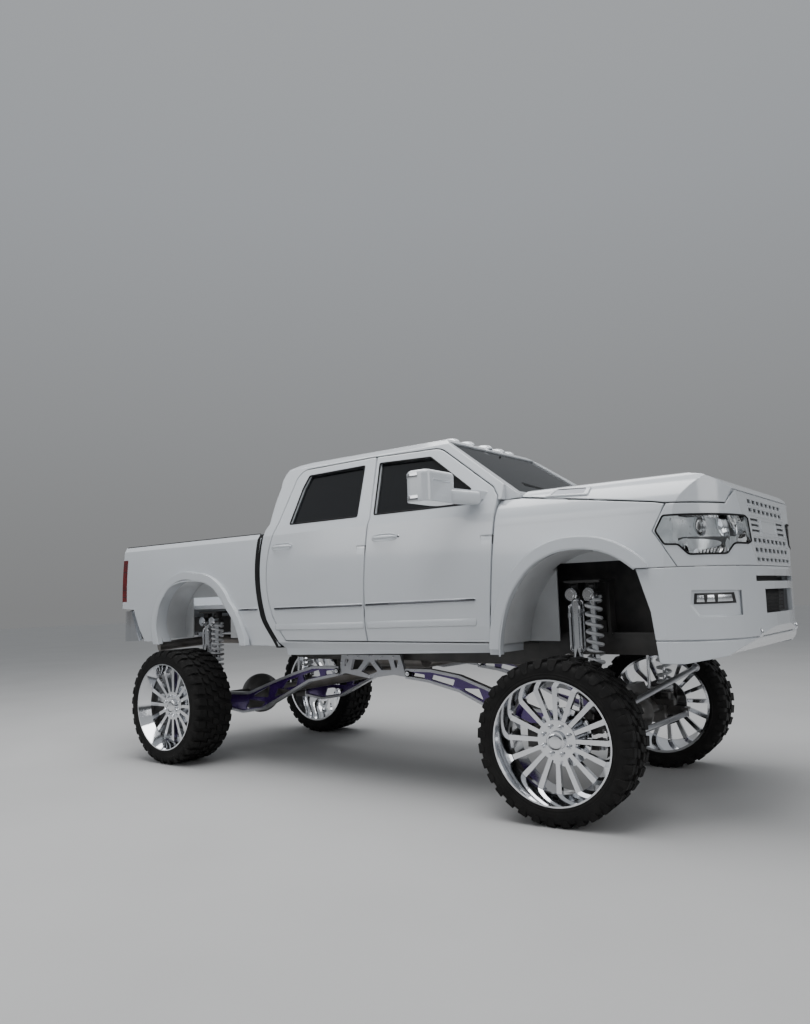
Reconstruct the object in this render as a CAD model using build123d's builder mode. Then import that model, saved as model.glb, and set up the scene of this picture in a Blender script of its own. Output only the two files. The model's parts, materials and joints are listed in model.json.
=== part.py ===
from build123d import *
from math import cos, radians, sin
import os

# Lifted crew-cab pickup truck. X forward, Y to the left, Z up, millimetres.
# The origin is on the ground, under the middle of the bumper-to-bumper length.

# Overall
length = 6066
nose_x = length / 2
tail_x = -length / 2
door_half_width = 996
seat_gap = 0.3
shut_gap = 9

# Wheels and axles
tyre_radius = 512
tyre_width = 406
tyre_sides = 48
bead_radius = 376
rim_lip_radius = 388
lip_half_track = 1195
axle_z = tyre_radius
front_axle_x = 1860
rear_axle_x = -2032
kingpin_y = 800
steer_rest = 6.5
hub_depth = 215
disc_depth = 105
spoke_count = 16

# Cab
belt_z = 2060
roof_z = 2690
sill_front_z = 1038
sill_rear_z = 986
door_thickness = 100
pillar_thickness = 60
roof_thickness = 45
cab_front_low_x = 1440
cab_front_high_x = 1520
firewall_thickness = 55
cab_rear_x = -868
side_split_y = door_half_width - 346
roof_edge_in = 261
windshield_half_low = door_half_width - 196
windshield_half_high = door_half_width - 331
windshield_low = (1600, 2123)
windshield_high = (833, 2660)
cowl_z = 2100
floor_z = 1165
floor_thickness = 40
glass_inset = 22
glass_thickness = 6

# Door cuts, in side view, as they show on the outer skin
b_cut_low = 240
b_cut_belt = 276
b_cut_high = 206
door_low_z = 1112
door_high_z = 2582
door_lead_low = 1367
door_lead_high = 1442
door_corner_z = 2120

# Door hinges: low and high end of each barrel, the two axes and their fits
HINGE_ROWS = ((1300, 1360), (1790, 1850))
hinge_y = door_half_width - 24
front_hinge_x = 1335
rear_hinge_x = 185
barrel_radius = 9
hinge_pin_radius = 4
pin_fit = 0.3
hinge_room_gap = 1
tongue_half = 6
tongue_end_y = door_half_width - 130
slot_reach = 140

# Nose, hood hinge, grille and mirrors
panel = 34
lamp_depth = 90
bumper_seam_z = 1565
hood_rear_x = 1612
hood_hinge_x = hood_rear_x + 12
hood_hinge_y = 580
hood_hinge_z = 2160
hood_barrel_radius = 10
hood_barrel_half = 20
grille_half_width = 430
grille_bar = 26
pocket_depth = 12
mirror_head = (1085, -1220, 2195)
mirror_size = (200, 360, 220)

# Bed
bed_gap = 26
bed_rail_z = 2030
bed_floor_z = 1420
bed_floor_thickness = 35
bed_wall = 92
bed_rear_x = tail_x + 48
tailgate_thickness = 55

# Frame
rail_y = 440
rail_width = 80
rail_height = 150
rail_mid_z = 1005
rail_rear_z = 1230
rail_front_x = nose_x - 273
rail_front_z = 1080
half_rail = rail_height / 2

os.makedirs("parts", exist_ok=True)


def closed(start, *legs):
    """A face bounded by straight legs (end,) and curved legs (through, end)."""
    with BuildSketch() as face:
        with BuildLine():
            here = start
            for leg in legs:
                if len(leg) == 1:
                    Line(here, leg[0])
                else:
                    ThreePointArc(here, leg[0], leg[1])
                here = leg[-1]
            if here != start:
                Line(here, start)
        make_face()
    return face.sketch


def grown(face, amount):
    """The same face with its border moved out by amount, corners kept."""
    return offset(face, amount=amount, kind=Kind.INTERSECTION)


def prism(face, plane, amount, both=True, direction=None):
    """A face on a plane, extruded."""
    with BuildPart() as solid:
        with BuildSketch(plane):
            add(face)
        extrude(amount=amount, both=both, dir=direction)
    return solid.part


def block(low, high):
    """A box from its low corner to its high corner."""
    size = [h - l for l, h in zip(low, high)]
    middle = [(h + l) / 2 for l, h in zip(low, high)]
    return Pos(*middle) * Box(*size, mode=Mode.PRIVATE)


def rod(start, end, radius):
    """A round bar between two points."""
    line = Vector(*end) - Vector(*start)
    along = (Align.CENTER, Align.CENTER, Align.MIN)
    bar = Cylinder(radius, line.length, align=along, mode=Mode.PRIVATE)
    return Plane(origin=start, z_dir=line) * bar


def write(name, part):
    """Labels a finished piece and writes its file."""
    part.label = name
    export_step(part, f"parts/{name}.step")
    print(name, len(part.solids()), round(part.volume / 1e6, 1))


SIDES = (("right", -1), ("left", 1))


def both_sides(part):
    """A piece drawn on the right, with its twin on the left."""
    return part + mirror(part, about=Plane.XZ)


# Half sections of the body, in the Y-Z plane, widened or narrowed by one inset.
def cab_section(inset, top_inset, crown_inset):
    """The cab: skin, greenhouse and crown moved in by their own insets."""
    right = closed(
        (0, 900),
        ((door_half_width - 91 - inset, 900),),
        ((door_half_width - 91 - inset, 1040),),
        ((door_half_width - 36 - inset, 1095),),
        ((door_half_width - 11 - inset, 1222),),
        ((door_half_width - inset, 1560), (door_half_width - 30 - inset, 2005)),
        ((door_half_width - 56 - (inset + top_inset) / 2, 2080),),
        ((door_half_width - roof_edge_in - top_inset, 2600 - top_inset * 0.3),),
        ((door_half_width - 356 - top_inset, 2655 - crown_inset),),
        ((door_half_width / 3, roof_z - 9 - crown_inset), (0, roof_z - crown_inset)),
    )
    return right + mirror(right, about=Plane.YZ)


def nose_section(inset):
    """The nose at its widest."""
    right = closed(
        (0, 900),
        ((door_half_width + 2 - inset, 900),),
        ((door_half_width + 2 - inset, 1500),),
        ((door_half_width - 4 - inset, 1700), (door_half_width - 21 - inset, 1900)),
        ((door_half_width - 71 - inset, 2050), (door_half_width - 206 - inset, 2148 - inset)),
        ((door_half_width - 596, 2202 - inset), (0, 2218 - inset)),
    )
    return right + mirror(right, about=Plane.YZ)


def bed_section(inset):
    """The bed from its lower edge to the rail."""
    right = closed(
        (0, 900),
        ((door_half_width - 61 - inset, 900),),
        ((door_half_width - 36 - inset, 1095),),
        ((door_half_width - 11 - inset, 1222),),
        ((door_half_width - inset, 1560), (door_half_width - 24 - inset, 1985)),
        ((door_half_width - 50 - inset, bed_rail_z),),
        ((0, bed_rail_z),),
    )
    return right + mirror(right, about=Plane.YZ)


rear_edge_high = (-900, belt_z)
rear_edge_bow = (-934, 1700)
rear_edge_mid = (-860, 1290)
rear_edge_low = (-712, 1047)

cab_outline = closed(
    (cab_front_low_x, 1040),
    ((cab_front_high_x, cowl_z),),
    ((windshield_low[0], cowl_z),),
    (windshield_low,),
    (windshield_high,),
    ((50, roof_z + 6), (-740, 2640)),
    ((-815, 2590), (-850, 2440)),
    ((cab_rear_x, 2300),),
    ((cab_rear_x, 2110),),
    (rear_edge_high,),
    (rear_edge_bow, rear_edge_mid),
    (rear_edge_low,),
    ((-693, sill_rear_z),),
    ((1407, sill_front_z),),
)


def firewall_x(z):
    """The cabin side of the firewall at a height."""
    lean = (cab_front_high_x - cab_front_low_x) / (cowl_z - 1040)
    return cab_front_low_x + (z - 1040) * lean - firewall_thickness


cab_inner_outline = closed(
    (firewall_x(floor_z), floor_z),
    ((firewall_x(2135), 2135),),
    ((windshield_low[0] - 78, 2135),),
    ((windshield_high[0] - 30, windshield_high[1] - 42),),
    ((-700, 2600),),
    ((cab_rear_x + 60, 2300),),
    ((cab_rear_x + 60, 1300),),
    ((cab_rear_x + 160, floor_z),),
)

cab_outer = prism(cab_section(0, 0, 0), Plane.YZ, 2 * length) & prism(
    cab_outline, Plane.XZ, 1500
)
cab_inner = prism(
    cab_section(door_thickness, pillar_thickness, roof_thickness), Plane.YZ, 2 * length
) & prism(cab_inner_outline, Plane.XZ, 1500)
cab_shell = cab_outer - cab_inner

# A slanted shut face lets each door's trailing edge swing out past its neighbour.
shut_slant = 0.36
shut_plane_y = door_half_width - 396


def skin_y(z):
    """Half width of the cab's skin at a height, near enough for the shut faces."""
    if z <= belt_z + 20:
        return door_half_width - 8
    lean = (roof_edge_in - 56) / (2600 - 2080)
    return door_half_width - 56 - (z - 2080) * lean


def slanted_x(x, z):
    """Where a slanted shut face that meets the skin at x crosses the shut plane."""
    return x + shut_slant * (skin_y(z) - shut_plane_y)


def shut(x, z):
    """A point of a slanted outline, on the shut plane."""
    return (slanted_x(x, z), z)


front_door_face = closed(
    (door_lead_low, door_low_z),
    ((door_lead_high, door_corner_z),),
    ((1390, 2195),),
    ((905, 2528),),
    ((860, 2552), (800, 2566)),
    ((100, door_high_z),),
    ((100, door_low_z),),
)
front_trail_face = closed(
    shut(b_cut_low, door_low_z - 200),
    (shut(b_cut_belt, belt_z),),
    (shut(b_cut_high, door_high_z + 100),),
    ((2600, door_high_z + 100),),
    ((2600, door_low_z - 200),),
)
rear_door_face = closed(
    shut(b_cut_low - shut_gap, door_low_z),
    (shut(b_cut_belt - shut_gap, belt_z),),
    (shut(b_cut_high - shut_gap, door_high_z),),
    (shut(-560, 2572),),
    (shut(-640, 2540), shut(-680, 2460)),
    (shut(-752, 2110),),
    (shut(-812, 1960),),
    (shut(-848, 1700), shut(-775, 1310)),
    (shut(-660, door_low_z),),
)
front_window = closed(
    (330, 2092), ((1212, 2092),), ((1196, 2205),), ((770, 2500),), ((268, 2520),)
)
rear_window = closed(
    (-606, 2092), ((142, 2092),), ((96, 2520),), ((-520, 2508),), ((-560, 2400),)
)


# Nose: one closed form, cut into hood, fenders, fascia and bumper along their seams
nose_outline = closed(
    (1300, 996),
    ((1300, 2320),),
    ((1560, 2300),),
    ((nose_x - 833, 2226),),
    ((nose_x - 513, 2205), (nose_x - 273, 2140)),
    ((nose_x - 153, 2100), (nose_x - 71, 2030)),
    ((nose_x - 27, 1580),),
    ((nose_x, 1545),),
    ((nose_x, 1185),),
    ((nose_x - 48, 1110),),
    ((nose_x - 133, 1035),),
    ((nose_x - 333, 996),),
)


def nose_plan(inset):
    """The nose seen from above, its skin moved in by the inset."""
    wide = door_half_width + 14
    half = closed(
        (1200, 0),
        ((1200, wide - inset),),
        ((nose_x - 563, wide - inset),),
        (
            (nose_x - 233 - 0.4 * inset, wide - 105 - 0.9 * inset),
            (nose_x - 73 - 0.85 * inset, wide - 350 - 0.5 * inset),
        ),
        ((nose_x - 13 - inset, wide - 670 - 0.2 * inset), (nose_x - inset, 0)),
    )
    return half + mirror(half, about=Plane.XZ)


def nose(inset):
    """The whole nose, its skin moved in by the inset."""
    side = grown(nose_outline, -inset) if inset else nose_outline
    across = prism(side, Plane.XZ, 1500)
    upward = prism(nose_plan(inset), Plane.XY, 3000)
    return prism(nose_section(inset), Plane.YZ, 2 * length) & across & upward


nose_outer = nose(0)
nose_shell = nose_outer - nose(panel)
lamp_shell = nose_outer - nose(lamp_depth)
pocket_shell = nose_outer - nose(pocket_depth)

# Seams, in side view
hood_region = closed(
    (hood_rear_x, 2400),
    ((hood_rear_x, 2104),),
    ((nose_x - 473, 1975),),
    ((nose_x - 393, 1960),),
    ((nose_x - 108, 1950),),
    ((nose_x - 83, 2035),),
    ((nose_x + 27, 2045),),
    ((nose_x + 27, 2400),),
)
front_arch = closed(
    (front_axle_x - 393, 800),
    ((front_axle_x - 393, 1065),),
    ((front_axle_x - 340, 1330), (front_axle_x - 206, 1548)),
    ((front_axle_x - 30, 1672), (front_axle_x + 185, 1713)),
    ((front_axle_x + 400, 1678), (front_axle_x + 581, bumper_seam_z)),
    ((front_axle_x + 660, 1304),),
    ((front_axle_x + 697, 996),),
    ((front_axle_x + 697, 800),),
)
rear_arch = closed(
    (rear_axle_x + 867, 800),
    ((rear_axle_x + 867, 1060),),
    ((rear_axle_x + 797, 1250), (rear_axle_x + 667, 1410)),
    ((rear_axle_x + 512, 1575), (rear_axle_x + 232, 1652)),
    ((rear_axle_x - 128, 1610), (rear_axle_x - 318, 1400)),
    ((rear_axle_x - 353, 1220), (rear_axle_x - 308, 1059)),
    ((rear_axle_x - 308, 800),),
)
fender_region = closed(
    (door_lead_low + shut_gap, 1030),
    ((door_lead_high + shut_gap, cowl_z - shut_gap),),
    ((hood_rear_x, cowl_z - shut_gap),),
    ((nose_x - 473, 1975 - shut_gap),),
    ((nose_x - 393 - shut_gap, 1960 - shut_gap),),
    ((nose_x - 429, 1890),),
    ((nose_x - 481, 1790),),
    ((nose_x - 421, 1700),),
    ((nose_x - 349, bumper_seam_z + 4),),
    ((2300, bumper_seam_z + 4),),
    ((2300, 1030),),
)
fascia_region = closed(
    (nose_x - 343, bumper_seam_z + 4),
    ((nose_x - 415, 1700),),
    ((nose_x - 475, 1790),),
    ((nose_x - 423, 1893),),
    ((nose_x - 389, 1960 - shut_gap),),
    ((nose_x - 108, 1950 - shut_gap),),
    ((nose_x - 83 + shut_gap, 2035 - shut_gap),),
    ((nose_x + 27, 2045 - shut_gap),),
    ((nose_x + 27, bumper_seam_z + 4),),
)
lamp_corners = closed(
    (nose_x - 461, 1790),
    ((nose_x - 413, 1880),),
    ((nose_x + 27, 1872),),
    ((nose_x + 27, 1706),),
    ((nose_x - 83, 1704),),
    ((nose_x - 111, 1640),),
    ((nose_x - 281, 1640),),
    ((nose_x - 333, 1702),),
    ((nose_x - 409, 1706),),
)
with BuildSketch() as lamp_sketch:
    add(lamp_corners)
    fillet(vertices(), radius=14)
lamp_region = lamp_sketch.sketch
bumper_region = closed(
    (front_axle_x + 581, bumper_seam_z),
    ((nose_x + 27, bumper_seam_z),),
    ((nose_x + 27, 900),),
    ((front_axle_x + 697, 900),),
    ((front_axle_x + 697, 996),),
    ((front_axle_x + 660, 1304),),
)

fog_region = closed(
    (nose_x - 289, 1340),
    ((nose_x - 283, 1425),),
    ((nose_x - 75, 1418),),
    ((nose_x - 75, 1270),),
    ((nose_x - 250, 1272),),
)

# Grille rows: height of the row's middle, height of its slots, slots across, slots left out
GRILLE_ROWS = (
    (1975, 30, 8, 0),
    (1920, 30, 8, 0),
    (1858, 20, 4, 2),
    (1823, 20, 4, 2),
    (1788, 20, 4, 2),
    (1727, 32, 8, 0),
    (1665, 32, 8, 0),
    (1604, 26, 8, 0),
)

with BuildPart() as hood:
    add(nose_shell)
    with BuildSketch(Plane.XZ):
        add(hood_region)
    extrude(amount=1500, both=True, mode=Mode.INTERSECT)
hood_part = hood.part
hood_barrels = None
bracket_x = hood_rear_x - 24
for y in (-hood_hinge_y, hood_hinge_y):
    room = hood_barrel_radius + hinge_room_gap
    half = hood_barrel_half + hinge_room_gap
    low_y = y - half
    high_y = y + half
    hood_part -= rod((hood_hinge_x, low_y, hood_hinge_z), (hood_hinge_x, high_y, hood_hinge_z), room)
    hood_part -= block(
        (hood_rear_x - 10, low_y, hood_hinge_z - 40), (hood_hinge_x, high_y, hood_hinge_z + 60)
    )
    pin_ends = [(hood_hinge_x, pin_y, hood_hinge_z) for pin_y in (low_y - room, high_y + room)]
    hood_part += rod(*pin_ends, hinge_pin_radius)
    start = (hood_hinge_x, y - hood_barrel_half, hood_hinge_z)
    end = (hood_hinge_x, y + hood_barrel_half, hood_hinge_z)
    barrel = rod(start, end, hood_barrel_radius)
    barrel += block((bracket_x, start[1], hood_hinge_z - hood_barrel_radius), end)
    barrel += block((bracket_x, start[1], cowl_z - 5), (hood_rear_x - shut_gap, end[1], hood_hinge_z))
    barrel -= rod(start, end, hinge_pin_radius + pin_fit)
    hood_barrels = barrel if hood_barrels is None else hood_barrels + barrel
write("hood", hood_part)

above_sill = closed((-4000, 1065), ((-4000, 3000),), ((4000, 3000),), ((4000, 1065),))
flare_root = door_half_width - 28
front_flare = prism(grown(front_arch, 78) & above_sill, Plane.XZ, door_half_width + 34)
front_flare = front_flare - block((0, -flare_root, 0), (4000, flare_root, 3000))
front_flare = front_flare & prism(fender_region, Plane.XZ, 1500)
for side, sign in SIDES:
    y0, y1 = sorted((0, sign * 1500))
    half = block((0, y0, 0), (4000, y1, 3000))
    with BuildPart() as fender:
        add(nose_shell)
        with BuildSketch(Plane.XZ):
            add(fender_region)
        extrude(amount=1500, both=True, mode=Mode.INTERSECT)
        add(front_flare)
        with BuildSketch(Plane.XZ):
            add(front_arch)
        extrude(amount=1500, both=True, mode=Mode.SUBTRACT)
        add(half, mode=Mode.INTERSECT)
        inner_edge = door_half_width - 116
        add(block((1300, -inner_edge, 0), (nose_x, inner_edge, 2060)), mode=Mode.SUBTRACT)
    write(f"fender_{side}", fender.part)

lamp_inner_y = grille_half_width + 60
lamp_cut = prism(grown(lamp_region, seat_gap), Plane.XZ, 1500) - block(
    (0, -lamp_inner_y, 0), (4000, lamp_inner_y, 3000)
)
with BuildPart() as front_fascia:
    add(nose_shell)
    with BuildSketch(Plane.XZ):
        add(fascia_region)
    extrude(amount=1500, both=True, mode=Mode.INTERSECT)
    add(lamp_cut, mode=Mode.SUBTRACT)
    for middle, tall, count, bare in GRILLE_ROWS:
        pitch = 2 * grille_half_width / count
        steps = [i - (count - 1) / 2 for i in range(count)]
        with Locations([(nose_x - 43, step * pitch, middle) for step in steps if abs(step) > bare / 2]):
            Box(240, pitch - grille_bar, tall, mode=Mode.SUBTRACT)
support_x = nose_x - 333
fascia_part = front_fascia.part
for y in (-rail_y, rail_y):
    post_foot_z = rail_front_z + half_rail + seat_gap
    post = block((support_x, y - 25, post_foot_z), (support_x + 50, y + 25, bumper_seam_z + 60))
    strut = block((support_x, y - 25, bumper_seam_z + 20), (nose_x - 23, y + 25, bumper_seam_z + 60))
    fascia_part = fascia_part + ((post + strut) & nose_outer)
write("front_fascia", fascia_part)

with BuildPart() as headlamps:
    add(lamp_shell)
    with BuildSketch(Plane.XZ):
        add(lamp_region)
    extrude(amount=1500, both=True, mode=Mode.INTERSECT)
    add(block((0, -lamp_inner_y - seat_gap, 0), (4000, lamp_inner_y + seat_gap, 3000)), mode=Mode.SUBTRACT)
write("headlamps", headlamps.part)

# Openings through the bumper's face: height of the middle, width, height
BUMPER_SLOTS = ((1345, 700, 150), (1487, 940, 34))
with BuildPart() as front_bumper:
    add(nose_shell)
    with BuildSketch(Plane.XZ):
        add(bumper_region)
    extrude(amount=1500, both=True, mode=Mode.INTERSECT)
    for middle, wide, tall in BUMPER_SLOTS:
        with Locations((nose_x, 0, middle)):
            Box(300, wide, tall, mode=Mode.SUBTRACT)
    with Locations((nose_x - 133, 0, 1000)):
        Box(1200, 1500, 90, mode=Mode.SUBTRACT)
bumper_part = front_bumper.part
fog_pocket = prism(fog_region, Plane.XZ, 1500) - block((0, -640, 0), (4000, 640, 3000))
valance_groove = block((0, -1500, 1126), (4000, 1500, 1134))
bumper_part -= pocket_shell & (fog_pocket + valance_groove)
for y in (-rail_y, rail_y):
    bumper_part = bumper_part + (
        nose_outer
        & block(
            (rail_front_x + seat_gap, y - rail_width / 2, rail_front_z + 10),
            (nose_x - 23, y + rail_width / 2, rail_front_z + half_rail),
        )
    )
write("front_bumper", bumper_part)

# Cab
windshield_plane = Plane(
    origin=(windshield_low[0], 0, windshield_low[1]),
    x_dir=(0, 1, 0),
    z_dir=(windshield_high[1] - windshield_low[1], 0, windshield_low[0] - windshield_high[0]),
)


def windshield_corners(inset):
    """The windshield's corners on its plane, moved in by the inset."""
    low = windshield_half_low - inset
    high = windshield_half_high - inset
    return (-low, 60 + inset), (low, 60 + inset), (high, 880 - inset), (-high, 880 - inset)


def back_window_corners(inset):
    """The back window's corners, moved in by the inset."""
    low = 570 - inset
    high = 500 - inset
    return (-low, 2150 + inset), (low, 2150 + inset), (high, 2500 - inset), (-high, 2500 - inset)


with BuildPart() as windshield_cut:
    with BuildSketch(windshield_plane):
        with BuildLine():
            Polyline(*windshield_corners(0), close=True)
        make_face()
    extrude(amount=120, both=True)
with BuildPart() as back_window_cut:
    with BuildSketch(Plane.YZ.offset(cab_rear_x + 30)):
        with BuildLine():
            Polyline(*back_window_corners(0), close=True)
        make_face()
        fillet(vertices(), radius=40)
    extrude(amount=120, both=True)

cab_open = cab_shell - windshield_cut.part - back_window_cut.part
cab_open = cab_open - block((-3000, -side_split_y, 0), (2000, side_split_y, floor_z - floor_thickness))

shut_plane = Plane.XZ.offset(shut_plane_y)
slant_way = (-shut_slant, -1, 0)
trail_prism = prism(front_trail_face, shut_plane, 700, both=False, direction=slant_way)
front_fill = prism(front_door_face, shut_plane, 500, both=False) & trail_prism
front_hole = prism(grown(front_door_face, shut_gap), shut_plane, 500, both=False)
rear_fill = prism(rear_door_face, shut_plane, 700, both=False, direction=slant_way)
rear_hole = prism(grown(rear_door_face, shut_gap), shut_plane, 700, both=False, direction=slant_way)

door_inside = prism(
    cab_section(door_thickness, pillar_thickness, roof_thickness), Plane.YZ, 2 * length
)
hole_inside = prism(
    cab_section(door_thickness + shut_gap, pillar_thickness + shut_gap, roof_thickness + shut_gap),
    Plane.YZ,
    2 * length,
)
front_fill = front_fill - door_inside
rear_fill = rear_fill - door_inside
front_hole = front_hole - hole_inside
rear_hole = rear_hole - hole_inside

roof_split_z = 2500
back_split_x = -600
cab_middle = cab_open & block((-3000, -side_split_y, 0), (3000, side_split_y, 3000))
roof_block = block((-3000, -side_split_y, roof_split_z), (3000, side_split_y, 3000))
back_block = block((-3000, -side_split_y, floor_z), (back_split_x, side_split_y, roof_split_z))
cab_roof = cab_middle & roof_block
cab_back = (cab_middle - roof_block) & back_block
cab_floor = cab_middle - roof_block - back_block
cab_floor = cab_floor + hood_barrels
write("cab_roof", cab_roof)
write("cab_back", cab_back)
write("cab_floor", cab_floor)

# The hinge pillar stands inside the fender's skin.
pillar_core = prism(nose_section(panel + seat_gap), Plane.YZ, 2 * length)
lead_block = prism(
    closed(
        (door_lead_low, 900),
        ((door_lead_low, door_low_z),),
        ((door_lead_high, door_corner_z),),
        ((door_lead_high, cowl_z - 3),),
        ((1700, cowl_z - 3),),
        ((1700, 900),),
    ),
    Plane.XZ,
    1500,
)
b_post = prism(
    closed(
        (174 - door_half_width, floor_z - floor_thickness),
        ((154 - door_half_width, 1222),),
        ((162 - door_half_width, 1700),),
        ((201 - door_half_width, belt_z),),
        ((340 - door_half_width, 2590),),
        ((360 - door_half_width, 2600),),
        ((256 - door_half_width, belt_z),),
        ((256 - door_half_width, floor_z - floor_thickness),),
    ),
    Plane.YZ.offset(165),
    155,
    both=False,
) & block((0, -1000, 1000), (600, -side_split_y, 2700))


# Door hinges: a barrel on the pillar turns on a pin inside a slot of the door's edge
def hinge_parts(x, root_y):
    """A right door's hinges on one axis: the fixed barrels, the door's slots and its pins."""
    fixed = None
    slots = None
    pins = None
    for low, high in HINGE_ROWS:
        barrel = rod((x, -hinge_y, low), (x, -hinge_y, high), barrel_radius)
        barrel += block((x - tongue_half, -hinge_y, low), (x + tongue_half, -root_y, high))
        barrel -= rod((x, -hinge_y, low), (x, -hinge_y, high), hinge_pin_radius + pin_fit)
        room = barrel_radius + hinge_room_gap
        bottom = low - hinge_room_gap
        top = high + hinge_room_gap
        slot = rod((x, -hinge_y, bottom), (x, -hinge_y, top), room)
        slot += block((x - room, -hinge_y - room, bottom), (x + slot_reach, slot_reach - hinge_y, top))
        pin = rod((x, -hinge_y, bottom - room), (x, -hinge_y, top + room), hinge_pin_radius)
        fixed = barrel if fixed is None else fixed + barrel
        slots = slot if slots is None else slots + slot
        pins = pin if pins is None else pins + pin
    return fixed, slots, pins


front_fixed, front_slots, front_pins = hinge_parts(front_hinge_x, tongue_end_y)
for low, high in HINGE_ROWS:
    front_fixed += block(
        (front_hinge_x - tongue_half, -tongue_end_y - 2 * tongue_half, low),
        (firewall_x(high) + 2 * tongue_half, -tongue_end_y, high),
    )
rear_fixed, rear_slots, rear_pins = hinge_parts(rear_hinge_x, door_half_width - 190)
# Room in the sill for the inner front corner of each door: hinge, length behind and ahead, depth
SILL_NOTCHES = ((front_hinge_x, 45, 45, 146), (rear_hinge_x, 85, 105, 174))
side_right = cab_open & block((-3000, -1200, 0), (3000, -side_split_y, 3000))
side_right = side_right - front_hole - rear_hole
for x, behind, ahead, depth in SILL_NOTCHES:
    side_right = side_right - block(
        (x - behind, -door_half_width, door_low_z - shut_gap),
        (x + ahead, depth - door_half_width, floor_z + 1),
    )
side_right = (side_right - lead_block) + (side_right & lead_block & pillar_core)
side_right = side_right - block(
    (cab_front_high_x - 40, -1100, cowl_z - 40), (1700, 116 - door_half_width, 2300)
)
side_right = side_right + (b_post & cab_outer) + front_fixed + rear_fixed
write("cab_side_right", side_right)
write("cab_side_left", mirror(side_right, about=Plane.XZ))

glass_back = glass_inset + glass_thickness
glass_shell = prism(cab_section(glass_inset, glass_inset, 0), Plane.YZ, 2 * length)
glass_shell -= prism(cab_section(glass_back, glass_back, 0), Plane.YZ, 2 * length)

with BuildPart() as cab_glass:
    with BuildSketch(windshield_plane.offset(-12)):
        with BuildLine():
            Polyline(*windshield_corners(seat_gap), close=True)
        make_face()
    extrude(amount=-glass_thickness)
    with BuildSketch(Plane.YZ.offset(cab_rear_x + 14)):
        with BuildLine():
            Polyline(*back_window_corners(seat_gap), close=True)
        make_face()
        fillet(vertices(), radius=40)
    extrude(amount=glass_thickness)
write("cab_glass", cab_glass.part)

with BuildPart() as mirror_unit:
    with Locations(mirror_head):
        Box(*mirror_size)
    fillet(edges().filter_by(Axis.Z), radius=60)
    fillet(faces().sort_by(Axis.Z)[-1].edges(), radius=30)
    with BuildSketch(Plane.XZ.offset(900)):
        with Locations((1300, 2135)):
            Rectangle(120, 60)
    with BuildSketch(Plane.XZ.offset(1110)):
        with Locations((1120, 2165)):
            Rectangle(90, 60)
    loft()

front_door = (cab_open & front_fill) - front_slots + front_pins
front_door = front_door - prism(front_window, Plane.XZ, 1500)
front_pane = glass_shell & prism(grown(front_window, -seat_gap), shut_plane, 600, both=False)
rear_door = (cab_open & rear_fill) - rear_slots + rear_pins
rear_door = rear_door - prism(rear_window, Plane.XZ, 1500)
rear_pane = glass_shell & prism(grown(rear_window, -seat_gap), shut_plane, 600, both=False)
outside = block((-3000, -2000, 0), (3000, 0, 3000)) - cab_inner
front_door = front_door + (mirror_unit.part & outside)
for name, piece in (
    ("door_front", front_door),
    ("door_rear", rear_door),
    ("door_glass_front", front_pane),
    ("door_glass_rear", rear_pane),
):
    write(f"{name}_right", piece)
    write(f"{name}_left", mirror(piece, about=Plane.XZ))

# Cabin fittings
dash_face = closed(
    (firewall_x(1750) - seat_gap, 1750),
    ((firewall_x(2110) - seat_gap, 2110),),
    ((1330, 2105),),
    ((1160, 2040), (1090, 1930)),
    ((1180, 1760),),
)
wheel_plane = Plane(origin=(880, 400, 2010), z_dir=(-370, 0, 110))
with BuildPart() as dashboard:
    with BuildSketch(Plane.XZ):
        add(dash_face)
    extrude(amount=780, both=True)
    add(rod((1250, 400, 1900), (880, 400, 2010), 32))
    add(wheel_plane * Torus(175, 15, mode=Mode.PRIVATE))
    add(wheel_plane * Box(350, 40, 14, mode=Mode.PRIVATE))
write("dashboard", dashboard.part)

seat_face = closed(
    (700, floor_z),
    ((700, 1300),),
    ((760, 1400), (720, 1500)),
    ((330, 1470),),
    ((150, 2130),),
    ((40, 2130), (40, 2060)),
    ((190, 1380),),
    ((190, floor_z),),
)
rear_seat_face = closed(
    (-330, floor_z),
    ((-330, 1300),),
    ((-250, 1400), (-290, 1500)),
    ((-620, 1470),),
    ((-700, 2080),),
    ((-780, 2080), (-790, 2000)),
    ((-790, 1340),),
    ((-690, floor_z),),
)
with BuildPart() as seats:
    for y in (-400, 400):
        with BuildSketch(Plane.XZ.offset(y)):
            add(seat_face)
        extrude(amount=260, both=True)
    with BuildSketch(Plane.XZ):
        add(rear_seat_face)
    extrude(amount=760, both=True)
    with Locations((90, -400, 2215), (90, 400, 2215)):
        Box(90, 270, 170)
seats_part = seats.part & block((-3000, -2000, floor_z), (3000, 2000, 3000))
seat_room = cab_section(door_thickness + 20, pillar_thickness + 20, 60)
seats_part = seats_part & prism(seat_room, Plane.YZ, 2 * length)
write("seats", seats_part)

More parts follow.
